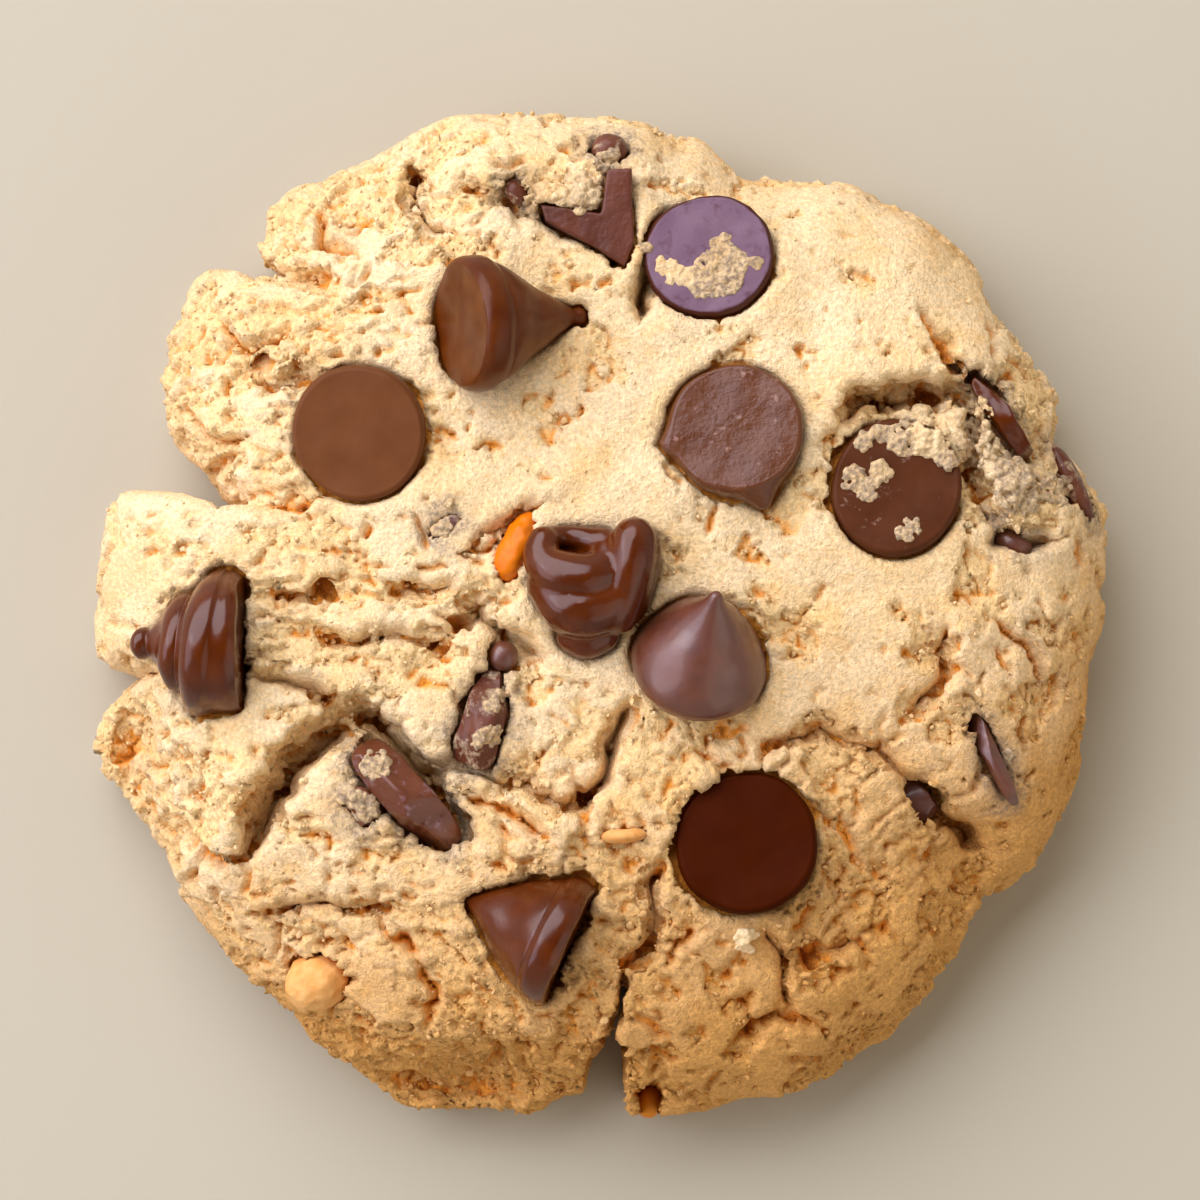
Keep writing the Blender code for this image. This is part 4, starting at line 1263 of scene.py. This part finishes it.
# The lower right, turned away from the window, is painted darker: painted shade mixed into real browning.
shaded_side = smooth_step(points[:, 0] * 0.35 - points[:, 1] * 0.92, 0.002, 0.034)
browned_and_shaded = 0.95 * shaded_side + smooth_step(points[:, 2], 0.0140, 0.0050) * (0.25 + 0.7 * shaded_side)
browned_and_shaded += 0.22 * smooth_step(rough_noise(points, 0.0060, 3, 80), 0.10, 0.75)
staining_tree = tree_of([chip_meshes[name] for name in STAINING_CHIPS])
stain_distance = distance_to(staining_tree, points, 0.0040)
stain_noise = rough_noise(points, 0.0014, 3, 81)
stained = smooth_step(stain_distance + 0.0011 * stain_noise, 0.0021, 0.0)
tone = np.stack([hollow, torn, np.clip(browned_and_shaded, 0.0, 1.0), stained], axis=1)
keep_tone(dough.data, tone)
dough.data.shade_smooth()
print("mean hollow, torn, browned, stained:", tone.mean(axis=0).round(2))

# %% [markdown]
# ## A short way to wire shader nodes
#
# Every material below is a small graph of nodes. Making each node, setting its inputs and drawing its
# links takes many lines, so one helper does all three: an input given a number or a colour is set, and
# an input given another node's output is linked.

# %% Node helpers
def shader_tree(name):
    """A new material with an output, and its node tree."""
    material = bpy.data.materials.new(name)
    material.use_nodes = True
    material.node_tree.nodes.clear()
    return material, material.node_tree


def add(tree, kind, inputs=None, **settings):
    """Adds a node. inputs maps a socket's name or number to a value or to another node's output."""
    made = tree.nodes.new(kind)
    for key, value in settings.items():
        setattr(made, key, value)
    for key, value in (inputs or {}).items():
        socket = made.inputs[key]
        if isinstance(value, bpy.types.NodeSocket):
            tree.links.new(value, socket)
        else:
            socket.default_value = value
    return made


def linear(red, green, blue):
    """A colour as a photograph shows it, from 0 to 255, in the linear values that shaders use."""
    channels = [c / 255.0 for c in (red, green, blue)]
    return tuple(c / 12.92 if c <= 0.04045 else ((c + 0.055) / 1.055) ** 2.4 for c in channels) + (1.0,)


def mix_colours(tree, share, first, second, mode="MIX"):
    """The mix of two colours, as an output socket."""
    node = add(tree, "ShaderNodeMix", {"Factor": share, 6: first, 7: second}, data_type="RGBA",
               blend_type=mode)
    return node.outputs[2]


def noise_out(tree, where, scale, detail=3.0, roughness=0.55):
    """Noise with scale lumps to the metre, as an output socket."""
    node = add(tree, "ShaderNodeTexNoise",
               {"Vector": where, "Scale": scale, "Detail": detail, "Roughness": roughness})
    return node.outputs["Fac"]


def ramp(tree, value, low, high, start=0.0, end=1.0):
    """The value's way from low to high, as a share from start to end."""
    node = add(tree, "ShaderNodeMapRange",
               {"Value": value, "From Min": low, "From Max": high, "To Min": start, "To Max": end})
    return node.outputs["Result"]


def math_out(tree, operation, first, second):
    """One sum on two values, as an output socket."""
    return add(tree, "ShaderNodeMath", {0: first, 1: second}, operation=operation).outputs[0]


print(f"a grey of 128 in a photograph is {linear(128, 128, 128)[0]:.3f} in a shader")

# %% [markdown]
# ## The dough's colour and feel
#
# The skin is a pale cream that drifts towards gold, and torn crumb is more golden. Hollows are painted
# orange and go brown where they are deep, which is painted shade and bounced light. The lower flank is
# toasted, and the lower right gets the same tan as painted shade. The low spots of the coarse bump are
# painted darker as well: painted shade in the pits of the grain. Fine speckle breaks every colour up,
# since flour, sugar and fat brown unevenly, and two layers of bump add the grain of the crumb itself.

# %% Dough material
SKIN_PALE = linear(253, 228, 190)
SKIN_GOLD = linear(252, 220, 172)
CRUMB = linear(253, 220, 164)
# Colour of random blotches, and also of the painted shade in the pits of the crumb's bump.
BLOTCH_AND_PIT_SHADE = linear(247, 190, 108)
# Painted shade and bounced light: orange for the hollows, brown for the deep ones.
HOLLOW_PAINTED_BOUNCE = linear(250, 168, 66)
HOLLOW_PAINTED_SHADE = linear(150, 82, 22)
# Toasted tan, for real browning and also for the painted shade of the lower right.
TOASTED_AND_SHADE_TAN = linear(210, 152, 76)
STAIN_GREY = linear(140, 123, 113)


def dough_material(name):
    """Baked dough, coloured by its tone: hollow (painted shade), torn, browned and shaded, and stained.
    """
    material, tree = shader_tree(name)
    place = add(tree, "ShaderNodeTexCoord").outputs["Object"]
    tone_node = add(tree, "ShaderNodeAttribute", attribute_name="tone")
    parts = add(tree, "ShaderNodeSeparateColor", {"Color": tone_node.outputs["Color"]})
    drift = ramp(tree, noise_out(tree, place, 170.0, 2.0), 0.40, 0.66)
    colour = mix_colours(tree, drift, SKIN_PALE, SKIN_GOLD)
    torn_share = math_out(tree, "MULTIPLY", parts.outputs[1], 0.75)
    colour = mix_colours(tree, torn_share, colour, CRUMB)
    # The browned share holds real toasting and the painted shade of the lower right.
    browned_and_shade_share = math_out(tree, "MULTIPLY", parts.outputs[2], 0.9)
    colour = mix_colours(tree, browned_and_shade_share, colour, TOASTED_AND_SHADE_TAN)
    crumb = noise_out(tree, place, 2500.0, 3.0, 0.76)
    # Where the coarse bump is low, its pits are painted darker towards the blotch colour: painted shade.
    between = ramp(tree, crumb, 0.50, 0.28, 0.0, 0.50)
    colour = mix_colours(tree, between, colour, BLOTCH_AND_PIT_SHADE)
    blotch = ramp(tree, noise_out(tree, place, 330.0, 4.0, 0.62), 0.55, 0.74)
    colour = mix_colours(tree, math_out(tree, "MULTIPLY", blotch, 0.42), colour, BLOTCH_AND_PIT_SHADE)
    freckle = ramp(tree, noise_out(tree, place, 900.0, 2.0), 0.60, 0.80)
    colour = mix_colours(tree, math_out(tree, "MULTIPLY", freckle, 0.35), colour, TOASTED_AND_SHADE_TAN)
    # Painted shade in the hollows: orange where light bounces, brown where they are deep.
    colour = mix_colours(tree, ramp(tree, parts.outputs[0], 0.12, 0.70), colour, HOLLOW_PAINTED_BOUNCE)
    colour = mix_colours(tree, ramp(tree, parts.outputs[0], 0.74, 1.05), colour, HOLLOW_PAINTED_SHADE)
    stain_spots = ramp(tree, noise_out(tree, place, 2600.0, 1.0), 0.42, 0.62, 0.45, 1.0)
    stain_share = math_out(tree, "MULTIPLY", tone_node.outputs["Alpha"], stain_spots)
    colour = mix_colours(tree, math_out(tree, "MULTIPLY", stain_share, 0.8), colour, STAIN_GREY)
    speckle = ramp(tree, noise_out(tree, place, 3200.0, 1.5), 0.3, 0.7, 0.73, 1.03)
    grey = add(tree, "ShaderNodeCombineColor", {0: speckle, 1: speckle, 2: speckle}).outputs[0]
    colour = mix_colours(tree, 1.0, colour, grey, "MULTIPLY")
    coarse = add(tree, "ShaderNodeBump", {"Strength": 0.8, "Distance": 0.00031, "Height": crumb})
    fine = add(tree, "ShaderNodeBump", {"Strength": 0.8, "Distance": 0.00008, "Normal": coarse.outputs[0],
                                        "Height": noise_out(tree, place, 5200.0, 1.5, 0.70)})
    shader = add(tree, "ShaderNodeBsdfPrincipled", {
        "Base Color": colour, "Roughness": 0.82, "Normal": fine.outputs[0], "Specular IOR Level": 0.25})
    add(tree, "ShaderNodeOutputMaterial", {"Surface": shader.outputs[0]})
    return material


dough.name = "cookie_dough"
dough.data.materials.clear()
baked = dough_material("baked_dough")
dough.data.materials.append(baked)
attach(dough, "root")
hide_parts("dough")
print("dough dressed:", dough.name)

# %% [markdown]
# ## Loose crumbs
#
# Baking, moving and breaking leave crumbs in every hollow and along every tear. A crumb is a lump with
# uneven corners, a quarter to one millimetre across. Thousands are needed, so they are built as one
# joined mesh from arrays: one small ball is copied, and each copy gets its own size, turn and knocks.
# They lie mostly where the crust is torn or hollow, sunk to about a third into the dough.

# %% Scatter crumbs over the crust
def random_turns(count, rng):
    """Rotation matrices in random directions."""
    quaternions = rng.normal(size=(count, 4))
    quaternions /= np.linalg.norm(quaternions, axis=1)[:, None]
    w, x, y, z = quaternions.T
    rows = [1 - 2 * (y * y + z * z), 2 * (x * y - z * w), 2 * (x * z + y * w),
            2 * (x * y + z * w), 1 - 2 * (x * x + z * z), 2 * (y * z - x * w),
            2 * (x * z - y * w), 2 * (y * z + x * w), 1 - 2 * (x * x + y * y)]
    return np.stack(rows, axis=1).reshape(-1, 3, 3)


def crumb_mesh(name, places, ups, sizes, subdivisions, sunk, rng):
    """One mesh of many uneven lumps. Returns it with the crumb that each point belongs to."""
    corners, triangles = ball_corners(subdivisions)
    count = len(places)
    directions = rng.normal(size=(count, 9, 3))
    directions /= np.linalg.norm(directions, axis=2)[:, :, None]
    reach = np.einsum("cdi,ki->ckd", directions, corners)
    knocks = 1.0 - 0.9 * np.clip(reach - 0.55, 0.0, 1.0).max(axis=2)
    knocks = knocks + rng.normal(0.0, 0.05, (count, len(corners)))
    shapes = corners[None] * knocks[:, :, None] * rng.uniform(0.65, 1.25, (count, 1, 3))
    shapes = np.einsum("nij,nkj->nki", random_turns(count, rng), shapes) * (sizes / 2)[:, None, None]
    shapes += (places + ups * (sizes * (0.5 - sunk))[:, None])[:, None]
    faces = (triangles[None] + (np.arange(count) * len(corners))[:, None, None]).reshape(-1, 3)
    mesh = bpy.data.meshes.new(name)
    mesh.from_pydata(shapes.reshape(-1, 3).tolist(), [], faces.tolist())
    return mesh, np.repeat(np.arange(count), len(corners))


def dress_dough(mesh, name):
    """Makes a piece of dough from a mesh that already has its tone."""
    mesh.materials.clear()
    mesh.materials.append(baked)
    mesh.shade_smooth()
    piece = placed(name, mesh)
    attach(piece, "root")
    return piece


CRUMB_SUNK = 0.34


def scatter(name, count, smallest, largest, subdivisions, seed):
    """Crumbs of one size range, on torn and hollow dough that faces up, clear of the chips."""
    rng = np.random.default_rng(seed)
    upward = smooth_step(normals[:, 2], 0.25, 0.6) * smooth_step(points[:, 2], 0.003, 0.006)
    clear = smooth_step(chips_away, 0.0002 + largest / 2, 0.0006 + largest / 2)
    wish = (0.04 + 0.75 * torn ** 2 + 0.5 * hollow) * upward * clear
    chosen = rng.choice(len(points), count, replace=False, p=wish / wish.sum())
    sizes = smallest * (largest / smallest) ** (rng.uniform(size=count) ** 1.7)
    mesh, owner = crumb_mesh(name, points[chosen], normals[chosen], sizes, subdivisions,
                             CRUMB_SUNK, rng)
    # Crumbs carry over some of the hollows' painted shade and the lower right's painted shade.
    torn_shade = rng.uniform(0.0, 0.9, count)
    browning_and_shade = np.clip(tone[chosen, 2] + rng.normal(0.0, 0.12, count), 0.0, 1.0)
    shades = np.stack([0.25 * tone[chosen, 0], torn_shade, browning_and_shade, tone[chosen, 3]], axis=1)
    keep_tone(mesh, shades[owner])
    return dress_dough(mesh, name)


chips_away = distance_to(chips_tree, points, 0.0020)
fine_crumbs = scatter("fine_crumbs", 2300, 0.00022, 0.00050, 2, 90)
coarse_crumbs = scatter("coarse_crumbs", 240, 0.00050, 0.00100, 3, 91)
print(f"{len(fine_crumbs.data.polygons)} + {len(coarse_crumbs.data.polygons)} triangles of crumbs")

# %% [markdown]
# ## Dough smeared on the chips
#
# Where a chip was pushed in, scraps of dough stuck to its face. A scrap isn't flat: it's a heap of
# small crumbs pressed together. So small balls are dropped at random within a few circles, each on
# the chip right below it, and one skin is drawn over all of them, as for the melted chip.

# %% Smears and heaps: x, y and radius in millimetres, how grey with cocoa, and height
SMEARS = [
    # The bloomed disc
    (8.7, 24.5, 1.9, 0.8, 0.3), (9.9, 25.3, 1.0, 0.8, 0.1), (7.4, 23.7, 1.0, 0.7, 0.1),
    (9.0, 26.6, 0.9, 0.8, 0.0), (5.3, 24.5, 0.9, 0.2, 0.1), (6.5, 24.1, 0.8, 0.3, 0.1),
    (4.5, 25.1, 0.5, 0.2, 0.0), (11.4, 25.2, 0.5, 0.9, 0.0), (3.4, 26.3, 0.4, 0.8, 0.0),
    # The crumbed disc and the cluster to its right
    (19.3, 12.1, 0.7, 1.0, 0.2), (20.6, 12.6, 0.7, 0.9, 0.2), (22.4, 12.3, 1.3, 0.6, 0.6),
    (24.2, 12.3, 1.6, 0.15, 0.9), (25.4, 10.6, 0.9, 0.7, 0.5), (18.6, 9.3, 1.0, 1.0, 0.3),
    (19.5, 8.5, 0.9, 1.0, 0.2), (20.7, 9.8, 0.8, 0.5, 0.3), (22.6, 5.6, 1.0, 1.0, 0.0),
    (27.6, 14.2, 1.5, 0.3, 1.0), (28.0, 11.9, 1.6, 0.4, 1.0), (31.0, 8.6, 1.9, 0.6, 0.8),
    (30.2, 10.3, 1.2, 0.9, 0.3), (33.9, 8.9, 1.3, 0.6, 0.6), (29.4, 6.6, 0.8, 1.0, 0.2),
    (30.5, 3.7, 0.5, 0.4, 0.2),
    # Two loose lumps, the broken chip, the fragment, the wedge, the sliver and the buried chip
    (-16.3, -2.2, 0.7, 0.0, 0.5), (10.8, -24.5, 0.9, 0.0, 0.7), (0.3, 33.0, 0.7, 0.9, 0.1),
    (0.9, 33.6, 0.5, 1.0, 0.0), (-1.5, 30.6, 1.6, 0.4, 0.7), (-3.0, 30.4, 0.9, 0.1, 0.4),
    (-7.9, -9.6, 0.8, 1.0, 0.1), (-8.9, -9.9, 0.6, 1.0, 0.0), (-7.2, -6.6, 0.6, 1.0, 0.1),
    (-7.9, -7.3, 0.5, 1.0, 0.0), (-16.3, -11.7, 1.1, 0.9, 0.2), (-17.2, -14.9, 1.1, 1.0, 0.1),
    (-18.3, -14.0, 0.9, 0.8, 0.3), (30.0, -11.0, 0.5, 1.0, 0.0), (-11.6, 5.6, 0.7, 0.9, 0.0),
]


def smear_balls(rng):
    """Balls dropped within each circle on what lies right below, and each one's share of grey."""
    landing = tree_of([*chip_meshes.values(), dough.data])
    balls, greys = [], []
    for x, y, radius, grey, height in SMEARS:
        for _ in range(int(80 * radius ** 2) + 10):
            away, turn = radius * rng.uniform() ** 0.6, rng.uniform(0.0, 2 * math.pi)
            place = Vector(((x + away * math.cos(turn)) * MM, (y + away * math.sin(turn)) * MM, 0.1))
            hit = landing.ray_cast(place, Vector((0.0, 0.0, -1.0)))[0]
            size = (0.09 + 0.25 * rng.uniform() ** 2) * MM
            lift = height * (1.0 - (away / radius) ** 2) * rng.uniform() * MM
            balls.append((hit.x, hit.y, hit.z + lift - 0.35 * size * rng.uniform(0.2, 1.6), size))
            greys.append(grey)
    return np.array(balls), np.array(greys)


def nearest_ball(balls, points):
    """The number of the ball nearest to each point."""
    tree = KDTree(len(balls))
    for index, ball in enumerate(balls):
        tree.insert(ball[:3], index)
    tree.balance()
    return [tree.find(point)[1] for point in points]


balls, greys = smear_balls(np.random.default_rng(95))
smear = skin_over("dough_smears", balls, 0.00010, 2)
lumpy(smear, 0.0007, 0.00010, 96)
lumpy(smear, 0.0003, 0.00006, 98)
points = mesh_points(smear)
shade = smooth_noise(points, 0.0004, 97)
stains = greys[nearest_ball(balls, points)]
keep_tone(smear, np.stack([0.10 * (shade > 0.2), np.full(len(points), 0.3), 0.1 * stains,
                           np.clip(stains * (1.5 + 0.6 * shade), 0.0, 1.0)], axis=1))
dress_dough(smear, "dough_smears")
print(f"{len(balls)} crumbs pressed into smears, {len(smear.polygons)} faces")

# %% [markdown]
# ## Chocolate, butterscotch and peanut
#
# Set chocolate is a brown body under a thin fatty film. The film mirrors the window as soft lavender
# streaks, so it is a coat over a rougher base with a cool tint. Where the film went dull, the chip is
# satin. Old or warmed chocolate blooms: cocoa fat comes out as a mauve grey veil, which is a pale layer
# mixed over the brown by noise. Some colours here are painted reflection as well. The bloomed disc's
# mauve face is partly bloom and partly the window mirrored in it, painted in. The left disc's lighter
# brown is partly a painted sheen, and one dusted chip's lavender veil is partly painted glints. Dusted
# pieces carry dough in their pores.

# %% Confectionery materials
FILM_TINT = (0.96, 0.94, 1.0, 1.0)
SHINE_TINT = (0.88, 0.84, 1.0, 1.0)


def sweet_material(name, deep, light, gloss, coat=0.0, veil=None, veil_share=0.0, bump=0.00003, shine=0.4,
                   patch=420.0, beside_base=None):
    """A confectionery surface. deep and light are its colours, and veil a paler film laid on by noise.
    beside_base is the colour of all but the chip's flat base."""
    material, tree = shader_tree(name)
    place = add(tree, "ShaderNodeTexCoord").outputs["Object"]
    cloud = ramp(tree, noise_out(tree, place, patch, 3.0), 0.36, 0.66)
    colour = mix_colours(tree, cloud, linear(*deep), linear(*light))
    roughness = ramp(tree, noise_out(tree, place, 700.0, 3.0), 0.3, 0.7, gloss * 0.85, gloss * 1.2)
    if veil is not None:
        specks = noise_out(tree, place, 900.0, 5.0, 0.65)
        film = ramp(tree, specks, 0.62 - 0.4 * veil_share, 0.80 - 0.4 * veil_share)
        colour = mix_colours(tree, film, colour, linear(*veil))
        roughness = math_out(tree, "MAXIMUM", roughness, math_out(tree, "MULTIPLY", film, 0.6))
    if beside_base is not None:
        face = add(tree, "ShaderNodeAttribute", attribute_name="tone")
        colour = mix_colours(tree, face.outputs["Alpha"], linear(*beside_base), colour)
    grain = add(tree, "ShaderNodeBump", {"Strength": 0.5, "Distance": bump,
                                         "Height": noise_out(tree, place, 2600.0, 2.5, 0.6)})
    shader = add(tree, "ShaderNodeBsdfPrincipled", {
        "Base Color": colour, "Roughness": roughness, "Normal": grain.outputs[0], "IOR": 1.46,
        "Specular IOR Level": shine, "Specular Tint": SHINE_TINT, "Coat Weight": coat,
        "Coat Roughness": 0.16, "Coat IOR": 1.45, "Coat Tint": FILM_TINT})
    add(tree, "ShaderNodeOutputMaterial", {"Surface": shader.outputs[0]})
    return material


# Deep and light colour, roughness, and what else sets each finish apart
SWEETS = {
    "dark_satin": ((84, 38, 14), (100, 50, 24), 0.46, {"coat": 0.65, "shine": 1.0}),
    "dark_glossy": ((76, 29, 1), (90, 38, 3), 0.24, {"coat": 0.45, "shine": 0.3}),
    "disc_dark": ((58, 17, 0), (63, 20, 0), 0.50, {"shine": 0.04}),
    # The left disc's lighter brown is partly a painted sheen, the window's broad reflection on its face.
    "disc_milk_and_sheen": ((100, 58, 29), (107, 63, 34), 0.55, {"coat": 0.04, "shine": 0.15}),
    "sandy_milk": ((88, 46, 17), (99, 55, 25), 0.34, {
        "coat": 0.10, "veil": (176, 138, 130), "veil_share": 0.03, "bump": 0.00016, "shine": 0.5}),
    "cone_milk": ((80, 32, 1), (94, 44, 2), 0.36, {"coat": 0.18, "shine": 0.2}),
    "crumbed_dark": ((76, 38, 15), (84, 44, 20), 0.50, {
        "coat": 0.04, "veil": (170, 140, 130), "veil_share": 0.02, "shine": 0.15}),
    # The mauve face is partly bloom and partly a painted reflection of the window; the sides stay plain
    # brown.
    "bloom_and_painted_reflection": ((108, 82, 106), (118, 92, 114), 0.55, {
        "coat": 0.05, "veil": (92, 60, 80), "veil_share": 0.22, "bump": 0.00006, "shine": 0.25,
        "patch": 260.0, "beside_base": (70, 30, 14)}),
    "dusted": ((88, 44, 26), (108, 62, 44), 0.42, {
        "coat": 0.2, "veil": (196, 176, 148), "veil_share": 0.26, "bump": 0.00010, "shine": 0.3}),
    "buried": ((110, 74, 78), (150, 120, 118), 0.6, {
        "veil": (208, 192, 168), "veil_share": 0.50, "bump": 0.00012, "shine": 0.15, "patch": 900.0}),
    # The lavender veil is partly dust and partly painted glints of the window.
    "purple_dust_and_glints": ((92, 44, 22), (110, 60, 38), 0.30, {
        "coat": 0.5, "veil": (140, 112, 124), "veil_share": 0.12}),
    "matte_milk": ((82, 40, 24), (98, 50, 32), 0.42, {"coat": 0.05, "bump": 0.00010, "shine": 0.45}),
    "butterscotch": ((214, 108, 0), (222, 122, 2), 0.45, {"coat": 0.15, "shine": 0.25}),
    "butterscotch_dull": ((206, 124, 10), (224, 144, 30), 0.5, {"coat": 0.1, "shine": 0.3}),
    "peanut": ((214, 152, 84), (228, 180, 118), 0.66, {
        "veil": (236, 160, 84), "veil_share": 0.25, "bump": 0.00014, "shine": 0.3, "patch": 700.0}),
}
LOOKS = {name: sweet_material(name, deep, light, gloss, **rest)
         for name, (deep, light, gloss, rest) in SWEETS.items()}
print(f"{len(LOOKS)} finishes")

# %% The finish and the record's material of every chip
FINISHES = {
    "chip_disc_left": "disc_milk_and_sheen", "chip_disc_rough": "sandy_milk", "chip_disc_bloomed": "bloom_and_painted_reflection",
    "chip_disc_crumbed": "crumbed_dark", "chip_disc_glossy": "disc_dark", "chip_cone_top": "cone_milk",
    "chip_cone_upright": "dark_satin", "chip_cone_lower": "dark_glossy", "chip_swirl_left": "dark_glossy",
    "chip_heart": "dark_glossy", "chip_broken": "matte_milk", "chip_broken_nub": "dusted",
    "chip_broken_patch": "dusted", "chip_edge_curl": "dark_glossy", "chip_rim": "dusted",
    "chip_in_crack": "dark_satin", "chip_fragment_nub": "dark_satin", "chip_fragment": "dusted",
    "chip_diagonal": "purple_dust_and_glints", "chip_diagonal_stub": "purple_dust_and_glints", "chip_sliver": "dark_satin",
    "chip_in_hollow": "dark_satin", "chip_buried": "buried", "butterscotch_piece": "butterscotch",
    "butterscotch_foot": "butterscotch_dull", "peanut_lump": "peanut", "peanut_sliver": "peanut",
}


def place_piece(mesh, node, look):
    """Makes the piece that stands in for a solid."""
    mesh.materials.clear()
    mesh.materials.append(LOOKS[look])
    mesh.shade_smooth()
    piece = placed(node + "_fine", mesh)
    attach(piece, "root")
    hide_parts(node)
    return piece


chips = {node: place_piece(mesh, node, FINISHES[node]) for node, mesh in chip_meshes.items()}
print(f"{len(chips)} pieces placed")

# %% [markdown]
# ## Camera
#
# The photograph was taken from nearly straight above, leaning a little towards the viewer, through a
# long lens from about forty centimetres. The long lens matters: a short one close up would show more
# of the near chips' sides than of the far ones'.

# %% Camera
TARGET = Vector((0.0, 0.00044, 0.015))
CAMERA_TILT = math.radians(3.5)
CAMERA_DISTANCE = 0.42
SENSOR_WIDTH = 36.0
FOCAL_LENGTH = 171.4

camera_data = bpy.data.cameras.new("camera")
camera_data.lens = FOCAL_LENGTH
camera_data.sensor_width = SENSOR_WIDTH
camera = placed("camera", camera_data)
lean = Vector((0.0, -math.sin(CAMERA_TILT), math.cos(CAMERA_TILT)))
camera.location = TARGET + CAMERA_DISTANCE * lean
camera.rotation_euler = (CAMERA_TILT, 0.0, 0.0)
bpy.context.scene.camera = camera
print(f"{CAMERA_DISTANCE * SENSOR_WIDTH / FOCAL_LENGTH * 1000:.0f} mm of the scene across the picture")

# %% [markdown]
# ## Floor
#
# A plain matte plate stands for the table. It's pale and warm, because light that bounces off it
# reaches the cookie's flank and decides how brown the flank looks.

# %% Floor
FLOOR_REACH = 0.6
FLOOR_TONE = linear(182, 177, 165)

floor = plate("floor", square(FLOOR_REACH), -0.004, -0.0001)
floor_material, tree = shader_tree("pale_floor")
shader = add(tree, "ShaderNodeBsdfPrincipled", {"Base Color": FLOOR_TONE, "Roughness": 0.85})
add(tree, "ShaderNodeOutputMaterial", {"Surface": shader.outputs[0]})
floor.data.materials.append(floor_material)
print("floor laid just under the cookie")

# %% [markdown]
# ## Light
#
# The photograph was lit by one big window behind and to the left: the shadows fall softly to the lower
# right, and each chip has a wide pale highlight on its upper left. A large rectangular lamp gives both,
# a bluish one low on the left adds the lilac sheen on the chips' left sides, and a weak one opposite
# keeps the shade from going black. The room's own light is warm, strongest from the sides and weak from
# straight above, so flat chip faces keep their depth of colour.

# %% Window, fill and room light: place, size, power and colour of each lamp
WINDOW = ((-0.34, 0.40, 0.52), (0.95, 0.75), 9.1, (1.0, 0.97, 0.96))
SIDE_LIGHT = ((-0.56, -0.06, 0.36), (0.50, 0.40), 1.5, (0.90, 0.88, 1.0))
FILL = ((0.45, -0.35, 0.45), (0.70, 0.70), 1.1, (1.0, 0.89, 0.74))
ROOM_COLOUR = (1.0, 0.87, 0.68, 1.0)
ROOM_SIDES, ROOM_ABOVE = 0.60, 0.08


def soft_light(name, place, size, power, colour):
    """A rectangular area lamp at a place, aimed at the cookie."""
    data = bpy.data.lights.new(name, "AREA")
    data.shape = "RECTANGLE"
    data.size, data.size_y = size
    data.energy = power
    data.color = colour
    lamp = placed(name, data)
    lamp.location = place
    lamp.rotation_euler = (Vector(place) - TARGET).to_track_quat("Z", "Y").to_euler()


soft_light("window", *WINDOW)
soft_light("side_light", *SIDE_LIGHT)
soft_light("fill", *FILL)
world = bpy.data.worlds.new("room")
world.use_nodes = True
sky = world.node_tree
way = add(sky, "ShaderNodeTexCoord").outputs["Generated"]
up = add(sky, "ShaderNodeSeparateXYZ", {"Vector": way}).outputs["Z"]
sky.nodes["Background"].inputs["Color"].default_value = ROOM_COLOUR
strength = ramp(sky, up, 0.55, 0.92, ROOM_SIDES, ROOM_ABOVE)
sky.links.new(strength, sky.nodes["Background"].inputs["Strength"])
bpy.context.scene.world = world
bpy.context.scene.view_settings.view_transform = "Standard"
print("three lamps and the room's own light")
